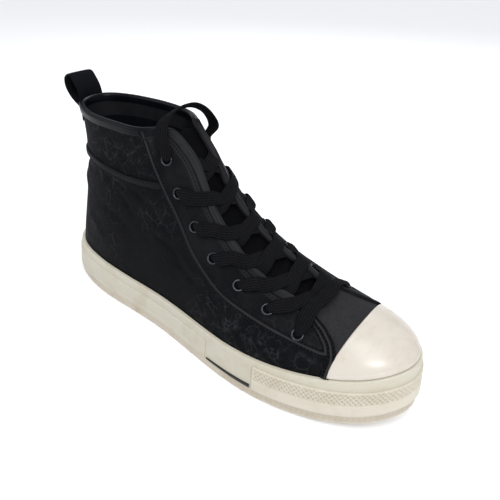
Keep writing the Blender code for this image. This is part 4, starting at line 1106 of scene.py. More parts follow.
def nearest(points, path):
    """Distance from each point to a polyline, and how far along the polyline it lies."""
    run = lengths(path)
    flat = points.reshape(-1, 3)
    best = np.full(len(flat), 1e9)
    along = np.zeros(len(flat))
    for i in range(len(path) - 1):
        step = path[i + 1] - path[i]
        share = np.clip(((flat - path[i]) @ step) / (step @ step), 0, 1)
        gap = np.linalg.norm(flat - path[i] - share[:, None] * step, axis=1)
        closer = gap < best
        best = np.where(closer, gap, best)
        along = np.where(closer, run[i] + share * (run[i + 1] - run[i]), along)
    return best.reshape(points.shape[:-1]), along.reshape(points.shape[:-1])


def groove(distance, middle, width):
    return np.exp(-((distance - middle) / width) ** 2)


EYELET_SPOTS = {}
for hand in (MEDIAL, LATERAL):
    spots = find_on_skin(hand, side_view(EYELETS), SIDE_VIEW)
    EYELET_SPOTS[hand] = [(skin_raw(t, hand, v), skin_normal(t, hand, v), t, v) for t, v in spots]


def cut_eyelet_holes(piece, hands, radius):
    """Cut the holes of the eyelets through a piece."""
    plugs = []
    for hand in hands:
        for place, axis, t, v in EYELET_SPOTS[hand]:
            bpy.ops.object.select_all(action="DESELECT")
            turn = Vector(axis).to_track_quat("Z", "X").to_euler()
            bpy.ops.mesh.primitive_cylinder_add(vertices=28, radius=radius, depth=0.012,
                                                location=place, rotation=turn)
            plugs.append(bpy.context.object)
    bpy.ops.object.select_all(action="DESELECT")
    for plug in plugs:
        plug.select_set(True)
    bpy.context.view_layer.objects.active = plugs[0]
    bpy.ops.object.join()
    cutter = bpy.context.object
    select_only(piece)
    cut = piece.modifiers.new("holes", "BOOLEAN")
    cut.operation = "DIFFERENCE"
    cut.solver = "MANIFOLD"
    cut.object = cutter
    bpy.ops.object.modifier_apply(modifier="holes")
    bpy.data.objects.remove(cutter, do_unlink=True)


def build_upper():
    ts, sides = all_round(250)
    rows = np.concatenate([LASTED * np.linspace(0, 1, 5)[:-1], np.linspace(LASTED, 1, 116)])
    outer = skin(ts[:, None], sides[:, None], rows[None, :])
    under = np.concatenate([np.linspace(1, LASTED, 36), [LASTED / 2, 0.0]])
    inner = skin(ts[:, None], sides[:, None], under[None, :], -WALL)
    inner[:, -1, 2] = outer[:, 0, 2]
    points = np.concatenate([outer, inner, outer[:, :1]], axis=1)
    pick = np.full(points.shape[1] - 1, 1)
    pick[:len(rows)] = 0
    pick[len(rows):len(rows) + 4] = 2
    strip_line = side_view(FRONT_STRIP)
    order = np.argsort(strip_line[:, 1])
    limit = np.interp(points[..., 2], strip_line[order, 1], strip_line[order, 0])
    masks = {"front": np.clip((points[..., 0] - limit) / 0.0015, 0, 1)}
    looks = [LOOKS["quarter"], LOOKS["lining"], LOOKS["satin"]]
    piece = lay("upper_shell", points, looks, pick=pick, masks=masks)
    cut_eyelet_holes(piece, (MEDIAL, LATERAL), EYELET_HOLE)
    ride(piece, "black_leather", "upper")


def eyestay_borders(side):
    """Seam, front and rim of the lace panel in t and v."""
    seam = find_on_skin(side, smooth_path(side_view(EYESTAY_SEAM)[1:], 90), SIDE_VIEW)
    front = find_on_skin(side, smooth_path(side_view(EYESTAY_FRONT)[:-1], 30), SIDE_VIEW)
    slope = (seam[0] - seam[3]) / (seam[0, 1] - seam[3, 1])
    start = seam[0] + slope * (1 - seam[0, 1])
    seam = np.concatenate([[start], seam])
    slope = (front[-1] - front[-4]) / (front[-1, 1] - front[-4, 1])
    end = front[-1] + slope * (1 - front[-1, 1])
    front = np.concatenate([front, [end]])
    joined = (seam[-1] + front[0]) / 2
    seam[-1] = joined
    front[0] = joined
    return seam, front


def by_run(table, side, count, bias=1.0):
    """Spread points evenly along a path given in t and v."""
    run = lengths(skin_raw(table[:, 0], side, table[:, 1]))
    at = np.linspace(0, 1, count)
    at = 1 - (1 - at) ** bias
    return np.stack([np.interp(at * run[-1], run, table[:, k]) for k in (0, 1)], -1)


# Distances of the sewn rows from the lace panel's seam and from its rim
ROW_1 = 0.0013
ROW_2 = 0.0039
RIM_ROW = 0.0053


def build_eyestay(side):
    seam, front = eyestay_borders(side)
    low = by_run(seam, side, 190, 1.35)
    rim = np.stack([np.linspace(low[0, 0], front[-1, 0], 400), np.ones(400)], -1)
    high = by_run(rim, side, 190, 1.35)
    share = np.concatenate([np.linspace(0, 0.42, 26)[:-1], np.linspace(0.42, 1, 26)])
    last = by_run(front, side, 400)
    last = np.stack([np.interp(share, np.linspace(0, 1, 400), last[:, k]) for k in (0, 1)], -1)
    across = share[None, :, None]
    field = low[:, None] * (1 - across) + high[:, None] * across
    straight = low[-1] * (1 - share[:, None]) + high[-1] * share[:, None]
    weight = np.linspace(0, 1, len(low))[:, None, None] ** 3
    field = field + weight * (last - straight)[None]
    t = field[..., 0]
    v = field[..., 1]
    bare = skin_raw(t, side, v)
    border = np.concatenate([bare[:, 0], bare[-1, 1:]])
    inside, run = nearest(bare, border)
    rim_path = bare[:, -1]
    from_rim, rim_run = nearest(bare, rim_path)
    height = rolled(inside, GAP + LEATHER, 0.0007)
    height = height - 0.00028 * (groove(inside, ROW_1, 0.0005) + groove(inside, ROW_2, 0.0005))
    height = height + 0.00035 * groove(inside, (ROW_1 + ROW_2) / 2, 0.0008)
    height = height - 0.00022 * groove(from_rim, RIM_ROW, 0.0005)
    to_row = np.minimum(np.abs(inside - ROW_1), np.abs(inside - ROW_2))
    to_rim_row = np.abs(from_rim - RIM_ROW)
    rim_nearer = to_rim_row < to_row
    masks = {"row_off": np.where(rim_nearer, to_rim_row, to_row),
             "row_run": np.where(rim_nearer, rim_run, run),
             "ridge": np.maximum(groove(inside, (ROW_1 + ROW_2) / 2, 0.0006),
                                 groove(from_rim, RIM_ROW, 0.0011))}

    def place(off):
        return skin(t, side, v, off)

    name = "lace_panel_" + WORDS[side]
    piece = panel(name, place, height, -0.0003, [LOOKS["eyestay"]], "black_leather",
                  masks=masks, smooth=50)
    cut_eyelet_holes(piece, (side,), EYELET_HOLE)
    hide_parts("eyestay_" + WORDS[side])
    rows = []
    shaped = place(height)
    normals = skin_normal(t, side, v)
    for distance, values in ((ROW_1, inside), (ROW_2, inside), (RIM_ROW, from_rim)):
        rows += contour(shaped, normals, values, distance, run if values is inside else rim_run)
    return rows


FRONT_STRIP = [
    # along, up
    (0.3560, 0.236),
    (0.3575, 0.270),
    (0.3580, 0.305),
    (0.3470, 0.340),
    (0.3270, 0.366),
    (0.2880, 0.400),
    (0.2620, 0.440),
]


def tape(name, path, side, width, height, look, slot, nodes=(), rows=11, masks=None):
    """A flat strip laid along a path of t and v, with a relief across it."""
    t = path[:, 0]
    v = path[:, 1]
    small = 1e-3
    by_t = (skin_raw(t + small, side, v) - skin_raw(t - small, side, v)) / (2 * small)
    low = np.maximum(v - small, LASTED)
    high = np.minimum(v + small, 1)
    by_v = (skin_raw(t, side, high) - skin_raw(t, side, low)) / (high - low)[:, None]
    along = unit(np.gradient(skin_raw(t, side, v), axis=0))
    across = np.cross(skin_normal(t, side, v), along)
    slopes = np.stack([by_t, by_v], -1)
    turned = np.array([np.linalg.lstsq(slopes[i], across[i], rcond=None)[0] for i in range(len(t))])
    off = np.linspace(-width / 2, width / 2, rows)
    at_t = np.clip(t[:, None] + turned[:, :1] * off[None, :], 0, 1)
    at_v = np.clip(v[:, None] + turned[:, 1:] * off[None, :], LASTED * 0.9, 1)

    def place(rise):
        return skin(at_t, side, at_v, rise)

    run = lengths(skin_raw(t, side, v))
    shape = np.broadcast_to(height(off)[None, :], at_t.shape)
    marks = {word: np.broadcast_to(make(off)[None, :], at_t.shape) for word, make in
             (masks or {}).items()}
    marks["row_run"] = np.broadcast_to(run[:, None], at_t.shape)
    panel(name, place, shape, -0.0003, [look], slot, nodes, masks=marks, smooth=50)
    return place, skin_normal(at_t, side, at_v), off


def build_front_strips():
    rows = []
    for side in (MEDIAL, LATERAL):
        path = find_on_skin(side, smooth_path(side_view(FRONT_STRIP), 90), SIDE_VIEW)
        keep = np.concatenate([[True], np.linalg.norm(np.diff(path, axis=0), axis=1) > 1e-5])
        path = path[keep]
        half = 0.0026

        def height(off):
            inside = half - np.abs(off)
            ridge = 0.00030 * groove(off, 0.0, 0.0007)
            return rolled(inside, 0.0017, 0.0007) + ridge - 0.00025 * groove(inside, ROW_1, 0.0004)

        place, normals, off = tape("front_strip_" + WORDS[side], path, side, 2 * half, height,
                                   LOOKS["eyestay"], "black_leather", rows=25,
                                   masks={"row_off": lambda off: np.abs(half - np.abs(off) - ROW_1),
                                          "ridge": lambda off: groove(off, 0.0, 0.0006)})
        shape = place(np.broadcast_to(height(off)[None, :], (len(path), len(off))))
        for sign in (-1, 1):
            column = int(np.argmin(np.abs(off - sign * (half - ROW_1))))
            rows.append((shape[:, column], normals[:, column]))
    return rows


def contour(points, normals, values, level, order):
    """Path over a grid along which its values equal a level, with the normals there."""
    found = []
    for axis in (0, 1):
        a = values if axis else values.T
        p = points if axis else points.transpose(1, 0, 2)
        n = normals if axis else normals.transpose(1, 0, 2)
        o = order if axis else order.T
        low = a[:, :-1] - level
        high = a[:, 1:] - level
        i, j = np.nonzero(low * high < 0)
        share = (low[i, j] / (low[i, j] - high[i, j]))[:, None]
        spot = p[i, j] * (1 - share) + p[i, j + 1] * share
        side = n[i, j] * (1 - share) + n[i, j + 1] * share
        run = o[i, j] * (1 - share[:, 0]) + o[i, j + 1] * share[:, 0]
        found.append(np.concatenate([run[:, None], spot, side], 1))
    table = np.concatenate(found)
    table = table[np.argsort(table[:, 0])]
    count = max(8, int((table[-1, 0] - table[0, 0]) / 0.0008))
    bins = np.clip(((table[:, 0] - table[0, 0]) / 0.0008).astype(int), 0, count - 1)
    path = np.array([table[bins == k].mean(0) for k in range(count) if (bins == k).any()])
    gaps = np.linalg.norm(np.diff(path[:, 1:4], axis=0), axis=1)
    pieces = np.split(path, np.nonzero(gaps > 0.004)[0] + 1)
    return [(part[:, 1:4], unit(part[:, 4:])) for part in pieces if len(part) > 5]


def edge_frame(t, side):
    """Points of the top edge, the outward direction there and the one square to the edge."""
    small = 2e-3
    along = unit(skin_raw(t + small, side, 1.0) - skin_raw(t - small, side, 1.0))
    out = skin_normal(t, side, 1.0)
    up = unit(np.cross(along, out))
    line = skin_raw(t, side, 1.0) - skin_raw(t, side, 1.0 - small)
    sign = np.sign((up * line).sum(-1, keepdims=True))
    return skin_raw(t, side, 1.0), out, up * sign


def build_binding(name, ts, sides, look, slot, node, depth, proud):
    """A folded strip over the top edge, rounded on top and flat on both flanks."""
    edge, out, up = edge_frame(ts, sides)
    low = depth_share(ts, sides, depth)
    share = np.linspace(0, 1, 12)
    v = low[:, None] + (1 - low[:, None]) * share[None, :]
    roll = rolled(share * depth, proud, 0.0005)
    flank = skin(ts[:, None], sides[:, None], v, roll[None, :])
    under = skin(ts[:, None], sides[:, None], v[:, ::-1], -WALL - roll[None, ::-1])
    radius = WALL / 2 + proud
    angle = np.linspace(0, math.pi, 15)[1:-1]
    middle = edge - out * WALL / 2
    top = (middle[:, None] + out[:, None] * (radius * np.cos(angle))[None, :, None]
           + up[:, None] * (radius * np.sin(angle) * 0.9)[None, :, None])
    foot = skin(ts, sides, low, -WALL / 2)[:, None]
    rings = np.concatenate([flank, top, under, foot], axis=1)
    return sweep(name, rings, [look], slot, (node,), smooth=50)


# Depth of each folded edge down the wall, and how far it stands out
COLLAR_FOLD = 0.0036
COLLAR_PROUD = 0.0011
THROAT_FOLD = 0.0034
THROAT_PROUD = 0.0017


def build_bindings():
    corner = lines_share(THROAT_CORNER)
    ts, sides = round_heel(corner, corner, 150)
    build_binding("collar_edge", ts, sides, LOOKS["trim"], "black_trim", "collar_binding",
                  COLLAR_FOLD, COLLAR_PROUD)
    ts, sides = round_toe(corner, 170)
    build_binding("throat_edge", ts, sides, LOOKS["satin"], "black_trim", "throat_binding",
                  THROAT_FOLD, THROAT_PROUD)


def band_middle(ts, sides):
    """Share v at which the ankle band runs on each line."""
    table = side_view(ANKLE_BAND)
    v = np.linspace(LASTED, 1, 160)
    wall = skin_raw(ts[:, None], sides[:, None], v[None, :])
    miss = wall[..., 2] - np.interp(wall[..., 0], table[:, 0], table[:, 1])
    return np.array([np.interp(0, miss[i], v) for i in range(len(ts))])


def build_ankle_band():
    ends = [find_on_skin(side, side_view(EYESTAY_SEAM)[3:4], SIDE_VIEW)[0, 0]
            for side in (MEDIAL, LATERAL)]
    ts, sides = round_heel(ends[0], ends[1], 130)
    middle = band_middle(ts, sides)
    small = 1e-2
    up = np.linalg.norm(skin_raw(ts, sides, middle + small) - skin_raw(ts, sides, middle), axis=-1)
    half = BAND_WIDTH / 2
    step = half / up * small
    across = np.sin(np.linspace(-1, 1, 19) * math.pi / 2)
    v = middle[:, None] + step[:, None] * across[None, :]
    inside = half * (1 - np.abs(across))
    shape = rolled(inside, 0.0011, 0.0006) - 0.00016 * groove(inside, 0.0009, 0.0003)
    height = np.broadcast_to(shape[None, :], v.shape)

    def place(off):
        return skin(ts[:, None], sides[:, None], v, off)

    panel("ankle_tape", place, height, -0.0003, [LOOKS["band"]], "black_leather", ("ankle_band",),
          smooth=60)
    rows = []
    normals = skin_normal(ts, sides, middle)
    for sign in (-1, 1):
        at = middle + step * sign * 0.58
        rows.append((skin(ts, sides, at, 0.0010), normals))
    return rows


def cap_edge(y):
    return CAP_EDGE - CAP_BOW * (y / CAP_BOW_AT) ** 2


def build_toe_cap():
    v = np.linspace(LASTED, 1, 300)
    fine = np.linspace(t_at(CAP_EDGE - 5 * CAP_BOW), 1.0, 700)
    starts = {}
    tops = {}
    for side in (MEDIAL, LATERAL):
        wall = skin_raw(fine[:, None], side, v[None, :])
        past = wall[..., 0] - cap_edge(wall[..., 1])
        tops[side] = np.array([np.interp(0, past[i][::-1], v[::-1]) for i in range(len(fine))])
        foot = past[:, 0]
        starts[side] = float(np.interp(0, foot, fine))
    share = np.sin(np.linspace(0, 1, 150) * math.pi / 2) ** 1.15
    columns = []
    for side in (MEDIAL, LATERAL):
        t = 1 - (1 - starts[side]) * (1 - share) ** 1.7
        columns.append(np.stack([t, np.full(len(t), side), np.interp(t, fine, tops[side])], -1))
    table = np.concatenate([columns[0], columns[1][::-1][1:]])
    t = table[:, 0]
    side = table[:, 1].astype(int)
    rows = np.concatenate([np.linspace(0, 0.12, 12)[:-1], np.linspace(0.12, 0.9, 54),
                           np.linspace(0.9, 1, 16)[1:]])
    field = LASTED + (table[:, 2:] - LASTED) * rows[None, :]
    sides = side[:, None]
    bare = skin_raw(t[:, None], sides, field)
    inside = nearest(bare, bare[:, -1])[0]
    foot = nearest(bare, bare[:, 0])[0]
    height = np.minimum(rolled(inside, GAP + CAP_THICKNESS, 0.0011),
                        rolled(foot, GAP + CAP_THICKNESS, 0.0016))
    height = height - 0.00025 * groove(foot, 0.0034, 0.0004)

    def place(off):
        return skin(t[:, None], sides, field, off)

    panel("toe_cap_shell", place, height, -0.0004, [LOOKS["cap"]], "cream_rubber", ("toe_cap",),
          smooth=50)


def tongue_sheet(depth):
    """Control points of one face of the tongue, from its top to its tip."""
    rows = []
    for t in np.linspace(TONGUE_FROM, TONGUE_TO, 11):
        rims = []
        for side in (MEDIAL, LATERAL):
            reach = np.array([TONGUE_UNDERLAP, TONGUE_UNDERLAP / 2, 0.0])
            shares = [depth_share(t, side, d)[0] for d in reach]
            rims.append([skin_raw(t, side, v) - skin_normal(t, side, v) * depth for v in shares])
        near = rims[0][2]
        far = rims[1][2]
        across = []
        for share in (0.25, 0.5, 0.75):
            lift_by = TONGUE_CROWN * 4 * share * (1 - share)
            across.append(near + (far - near) * share + np.array([0.0, 0.0, lift_by]))
        rows.append(rims[0] + across + rims[1][::-1])
    rows = np.array(rows)
    top = rows[:1] + np.array([-0.62, 0.0, 0.78]) * 0.0080
    tip = rows[-1:] + np.array([0.0110, 0.0, -0.0039])
    rows = np.concatenate([top, rows, tip])
    rows = np.stack([smooth_path(row, 41) for row in rows])
    return np.stack([smooth_path(rows[:, k], 110) for k in range(41)], axis=1)


def build_tongue():
    outer = tongue_sheet(TONGUE_DEPTH)
    inner = tongue_sheet(TONGUE_DEPTH + TONGUE_THICKNESS)
    middle = (outer + inner) / 2
    across = np.linspace(-1, 1, 41)
    along = np.linspace(-1, 1, 110)
    full = np.sqrt(np.clip(1 - np.abs(across) ** 10, 0.02, 1))[None, :]
    full = full * np.sqrt(np.clip(1 - np.abs(along) ** 30, 0.02, 1))[:, None]
    outer = middle + (outer - middle) * full[..., None]
    inner = middle + (inner - middle) * full[..., None]
    rings = np.concatenate([outer, inner[:, ::-1]], axis=1)
    sweep("tongue_pad", rings, [LOOKS["tongue"]], "black_lining", ("tongue",), smooth=60)


def build_eyelets():
    """Turned rings with a rounded flange, a barrel and a lip inside."""
    turn_around = np.linspace(0, 2 * math.pi, 37)
    arc = np.linspace(-0.15, 1.0, 9) * math.pi
    flange = [(0.00328 + 0.00057 * math.cos(a), 0.00145 + 0.00050 * math.sin(a)) for a in arc]
    barrel = [(0.00268, 0.0009), (0.00262, -0.0010), (0.00262, -WALL - 0.0004),
              (0.00300, -WALL - 0.0007), (0.00330, -WALL - 0.0004), (0.00295, -WALL - 0.0001),
              (0.00280, -WALL + 0.0006), (0.00285, 0.0010)]
    profile = np.array(flange + barrel)
    profile = np.concatenate([profile, profile[:1]])
    for side in (MEDIAL, LATERAL):
        for number, (place, axis, t, v) in enumerate(EYELET_SPOTS[side], 1):
            turn = np.array(Vector(axis).to_track_quat("Z", "X").to_matrix())
            local = np.stack([np.cos(turn_around)[:, None] * profile[None, :, 0],
                              np.sin(turn_around)[:, None] * profile[None, :, 0],
                              np.broadcast_to(profile[None, :, 1], (37, len(profile)))], -1)
            points = place + local @ turn.T
            name = "ring_%s_%d" % (WORDS[side], number)
            ride(lay(name, points, [LOOKS["steel"]], smooth=60), "gunmetal",
                 "eyelet_%s_%d" % (WORDS[side], number))


# Sole pieces

def sole_point(t, side, inset, height):
    flat = outline(t, side, inset)
    up = np.broadcast_to(height + lift(flat[..., 0]), flat.shape[:-1])
    return np.concatenate([flat, up[..., None]], -1)


def foxing_face(t, side, height, off):
    x = outline(t, side)[..., 0]
    low = OUTSOLE_EDGE + GAP
    high = foxing_height(x) - 0.0012
    inset = foxing_taper(x) * np.clip((height - low) / (high - low), 0, 1)
    return sole_point(t, side, inset - off, height)


def build_foxing():
    ts, sides = all_round(260)
    x = outline(ts, sides)[:, 0]
    high = foxing_height(x)
    taper = foxing_taper(x)
    low = OUTSOLE_EDGE + GAP
    rows = []
    for share in np.linspace(0, 1, 16):
        height = low + (high - 0.0013 - low) * share
        rows.append(foxing_face(ts, sides, height, -0.0002 * (share == 0)))
    for angle in np.linspace(0.12, 0.5, 6) * math.pi:
        inset = taper + 0.0013 * (1 - math.cos(angle))
        rows.append(sole_point(ts, sides, inset, high - 0.0013 + 0.0013 * math.sin(angle)))
    back = foxing_taper(x) + FOXING_WALL
    rows.append(sole_point(ts, sides, back, high))
    rows.append(sole_point(ts, sides, back, high - 0.006))
    rows.append(sole_point(ts, sides, back - taper / 2, low + 0 * high))
    rings = np.stack(rows, axis=1)
    points = np.concatenate([rings, rings[:, :1]], axis=1)
    ride(lay("side_wall", points, [LOOKS["rubber"]], smooth=50), "cream_rubber", "foxing")


def strip(name, ts, sides, low, high, thick, rows, look, slot, node, relief=None, round_by=0.0005):
    """A strip on the side wall between two heights, with rounded borders and a relief."""
    share = np.linspace(0, 1, rows)
    share = 0.5 - 0.5 * np.cos(share * math.pi) if rows < 30 else share
    height = low[:, None] + (high - low)[:, None] * share[None, :]
    run = lengths(outline(ts, sides))
    ends = np.minimum(run, run[-1] - run)[:, None]
    border = np.minimum(np.minimum(height - low[:, None], high[:, None] - height), ends)
    top = rolled(border, GAP + thick, min(round_by, thick))
    masks = {}
    if relief is not None:
        shape = relief(run[:, None], height)
        top = top + shape
        masks["pit"] = np.clip(-shape / 0.00045, 0, 1)

    def place(off):
        return foxing_face(ts[:, None], sides[:, None], height, off)

    return panel(name, place, top, -0.0004, [look], slot, (node,), smooth=50, masks=masks)


def lattice(run, height, along, up):
    """Depth share of diamond pits in a net of crossed ridges."""
    a = run / along + height / up
    b = run / along - height / up
    near_a = np.abs(a - np.floor(a) - 0.5)
    near_b = np.abs(b - np.floor(b) - 0.5)
    depth = np.clip((0.5 - np.maximum(near_a, near_b)) / 0.30, 0, 1)
    return depth * depth * (3 - 2 * depth)


BUMPER_SMOOTH = 0.0158


def bumper_relief(run, height):
    zone = np.clip((height - BUMPER_SMOOTH) / 0.0004, 0, 1)
    zone = zone * np.clip((BUMPER_HEIGHT - 0.0007 - height) / 0.0004, 0, 1)
    zone = zone * np.clip((run - 0.0010) / 0.0006, 0, 1)
    pits = lattice(run, height, 0.0030, 0.0034) * zone
    return -0.00055 * pits - 0.0003 * groove(height, BUMPER_SMOOTH - 0.0002, 0.00025)


def knurl_relief(run, height):
    ends = np.minimum(run, run.max() - run)
    zone = np.clip((0.030 - ends) / 0.012, 0, 1) * np.clip((ends - 0.0015) / 0.001, 0, 1)
    zone = zone * np.clip((height - 0.0135) / 0.001, 0, 1)
    return -0.00012 * lattice(run, height, 0.0028, 0.0028) * zone \
        - 0.00022 * groove(height, 0.0118, 0.00035)


def build_strips():
    low = OUTSOLE_EDGE + 2 * GAP
    heel_t = t_at(HEEL_STRIP_END)
    toe_t = t_at(BUMPER_START)
    ts, sides = round_toe(toe_t, 340)
    x = outline(ts, sides)[:, 0]
    strip("toe_strip", ts, sides, low + 0 * x, BUMPER_HEIGHT + 0 * x, 0.0010, 56, LOOKS["bumper"],
          "cream_rubber", "toe_bumper", bumper_relief)
    ts, sides = round_heel(heel_t, heel_t, 290)
    x = outline(ts, sides)[:, 0]
    strip("heel_band", ts, sides, low + 0 * x, foxing_height(x) - HEEL_STRIP_DROP, 0.0007, 34,
          LOOKS["rubber"], "cream_rubber", "heel_strip", knurl_relief)
    margin = 4 * GAP / LENGTH
    for side in (MEDIAL, LATERAL):
        ts = even_lines(heel_t + margin, toe_t - margin, 60)
        sides = np.full(60, side)
        x = outline(ts, sides)[:, 0]
        share = (x - HEEL_STRIP_END) / (BUMPER_START - HEEL_STRIP_END)
        top = low + STRIPE_THIN + (STRIPE_THICK - STRIPE_THIN) * share
        strip("black_line_" + WORDS[side], ts, sides, low + 0 * x, top, 0.0005, 9, LOOKS["line"],
              "black_rubber", "side_stripe_" + WORDS[side], round_by=0.0002)


def build_outsole():
    ts = even_lines(0, 1, 420)
    floor = np.zeros(len(ts))
    halves = []
    shades = []
    for side in (MEDIAL, LATERAL):
        run = lengths(outline(ts, side))
        toe = np.clip((outline(ts, side)[:, 0] - 0.020) / 0.030, 0, 1)
        depths = []
        rows = [sole_point(ts, side, LUG_BORDER, floor + OUTSOLE_EDGE - OUTSOLE_PLATE),
                sole_point(ts, side, LUG_BORDER, floor + 0.0004),
                sole_point(ts, side, LUG_BORDER - 0.0005, floor)]
        for angle in np.linspace(0, 0.5, 6) * math.pi:
            rows.append(sole_point(ts, side, 0.0009 * (1 - math.sin(angle)),
                                   floor + 0.0009 * (1 - math.cos(angle))))
        for height in np.linspace(0.0011, OUTSOLE_EDGE - 0.0006, 18):
            zone = np.clip((height - 0.0014) / 0.0003, 0, 1)
            zone = zone * np.clip((OUTSOLE_EDGE - 0.0010 - height) / 0.0003, 0, 1)
            pits = lattice(run, height, 0.0021, 0.0021) * zone * toe
            rows.append(sole_point(ts, side, 0.00035 * pits, floor + height))
            depths.append(pits)
        rows.append(sole_point(ts, side, 0.0002, floor + OUTSOLE_EDGE - 0.0002))
        rows.append(sole_point(ts, side, 0.0007, floor + OUTSOLE_EDGE))
        halves.append(np.stack(rows, axis=1))
        plain = [floor] * 9
        shades.append(np.stack(plain + depths + [floor] * 2, axis=1))
    rings = np.concatenate([halves[0], halves[1][:, ::-1]], axis=1)
    pits = np.concatenate([shades[0], shades[1][:, ::-1]], axis=1)
    sweep("outsole_plate", rings, [LOOKS["outsole"]], "cream_rubber", ("outsole",), smooth=45,
          masks={"pit": pits})
    bars = []
    for start, end in LUG_FIELDS:
        x = start
        while x + LUG_LENGTH <= end:
            bars.append(x)
            x += LUG_PITCH
    steps = np.linspace(0, 1, 25)
    profile = []
    for share in steps:
        fine = 0.5 - 0.5 * math.cos(share * 8 * math.pi)
        border = min(share, 1 - share)
        profile.append((share, 0.0003 + 0.0005 * fine + 0.0010 * max(0, 0.08 - border) / 0.08))
    for number, x in enumerate(bars, 1):
        sections = []
        for across in np.linspace(0.0, 1.0, 33):
            ring = []
            for share, height in profile:
                along = x + LUG_LENGTH * share
                t = t_at(along)
                near = sole_point(t, MEDIAL, LUG_BORDER - 0.0008, 0.0)
                far = sole_point(t, LATERAL, LUG_BORDER - 0.0008, 0.0)
                spot = near + (far - near) * across
                bend = 0.0010 * math.sin(across * 12 * math.pi)
                ring.append([spot[0] + bend, spot[1], spot[2] + height])
            for share in (1.0, 0.0):
                first = ring[-1] if share == 1.0 else ring[0]
                ring.append([first[0], first[1], first[2] - profile[0][1] + 0.0035])
            sections.append(ring)
        ring = np.array(sections)
        ride(sweep("tread_bar_%d" % number, ring, [LOOKS["outsole"]], "cream_rubber"),
             "cream_rubber")


# Strap and laces

def heel_bend(side, v, y):
    """How far the heel's back has come forward at a distance from its middle line."""
    t = np.linspace(0, 0.2, 41)
    points = skin_raw(t, side, v)
    reach = np.abs(points[:, 1] + SHIFT)
    return float(np.interp(y, reach, points[:, 0]) - points[0, 0])


def build_pull_loop():
    against = 3 * GAP + BINDING_THICKNESS + LOOP_THICKNESS / 2
    outer = against + LOOP_THICKNESS + GAP
    seat = depth_share(0.0, MEDIAL, LOOP_SEAT)[0]
    fold = depth_share(0.0, MEDIAL, LOOP_SEAT / 3)[0]
    edge, out = edge_frame(0.0, MEDIAL)[:2]
    middle = [(skin_raw(0.0, MEDIAL, seat) + skin_normal(0.0, MEDIAL, seat) * against, seat, 1.0),
              (skin_raw(0.0, MEDIAL, fold) + skin_normal(0.0, MEDIAL, fold) * against, fold, 1.0),
              (edge + out * against, 1.0, 1.0)]
    for x, z in LOOP_PATH:
        spot = edge + np.array([x * LOOP_RISE, 0.0, z * LOOP_RISE])
        middle.append((spot, 1.0, float(np.clip(1 - z, LOOP_FLAT, 1))))
    middle += [(skin_raw(0.0, MEDIAL, fold) + skin_normal(0.0, MEDIAL, fold) * outer, fold, 1.0),
               (skin_raw(0.0, MEDIAL, seat) + skin_normal(0.0, MEDIAL, seat) * outer, seat, 1.0)]
    columns = []
    for across in np.linspace(-1, 1, 23):
        y = across * LOOP_WIDTH / 2
        side = MEDIAL if across < 0 else LATERAL
        bent = []
        for spot, v, share in middle:
            bent.append([spot[0] + share * heel_bend(side, v, abs(y)), y - SHIFT, spot[2]])
        columns.append(smooth_path(bent, 120))
    sheet = np.stack(columns, axis=1)
    along = np.gradient(sheet, axis=0)
    thick = unit(np.cross(along, np.gradient(sheet, axis=1)))
    across = np.linspace(-1, 1, 23)
    body = np.sqrt(np.clip(1 - np.abs(across) ** 14, 0.03, 1))
    body = body * (1 - 0.16 * np.exp(-((np.abs(across) - 0.80) / 0.05) ** 2))
    half = LOOP_THICKNESS / 2 * body[None, :, None]
    rings = np.concatenate([sheet + thick * half, (sheet - thick * half)[:, ::-1]], axis=1)
    sweep("heel_strap", rings, [LOOKS["strap"]], "black_webbing", ("pull_loop",), smooth=60)


def smooth_rows(rows, count):
    """Even rows on a smooth curve, spaced by their first three values."""
    rows = np.asarray(rows, float)
    run = lengths(rows)
    knots = run / run[-1]
    slopes = np.gradient(rows, knots, axis=0)
    at = np.linspace(0, 1, count)
    i = np.clip(np.searchsorted(knots, at) - 1, 0, len(knots) - 2)
    h = (knots[i + 1] - knots[i])[:, None]
    s = ((at - knots[i]) / (knots[i + 1] - knots[i]))[:, None]
    return ((2 * s ** 3 - 3 * s ** 2 + 1) * rows[i] + (s ** 3 - 2 * s ** 2 + s) * h * slopes[i]
            + (3 * s ** 2 - 2 * s ** 3) * rows[i + 1] + (s ** 3 - s ** 2) * h * slopes[i + 1])


def ribbon(name, rows, nodes):
    """A flat woven lace along rows of place, direction of its width, half width and curl."""
    rows = np.array([list(p) + list(w) + [half, curl] for p, w, half, curl in rows])
    count = int(lengths(rows)[-1] / 0.0007)
    fine = smooth_rows(rows, count)
    place = fine[:, :3]
    tangent = unit(np.gradient(place, axis=0))
    wide = fine[:, 3:6]
    wide = unit(wide - tangent * (wide * tangent).sum(-1, keepdims=True))
    normal = np.cross(wide, tangent)
    half = fine[:, 6]
    curl = np.clip(fine[:, 7], 0.02, None)
    ring = []
    for x, y in SECTION:
        angle = x * curl
        radius = half / curl + y * LACE_THICKNESS / 2
        shift = half / curl * (1 + np.cos(curl)) / 2
        ring.append(place + wide * (radius * np.sin(angle))[:, None]
                    + normal * (radius * np.cos(angle) - shift)[:, None])
    rings = np.stack(ring, axis=1)
    sweep(name, rings, [LOOKS["lace"]], "black_webbing", nodes, smooth=70)
    return lengths(place)[-1]


SECTION = [(x, math.sqrt(max(0.0, 1 - abs(x) ** 6))) for x in np.sin(np.linspace(-1, 1, 15) * 1.5708)]
SECTION = SECTION + [(x, -y) for x, y in SECTION[::-1][1:-1]]


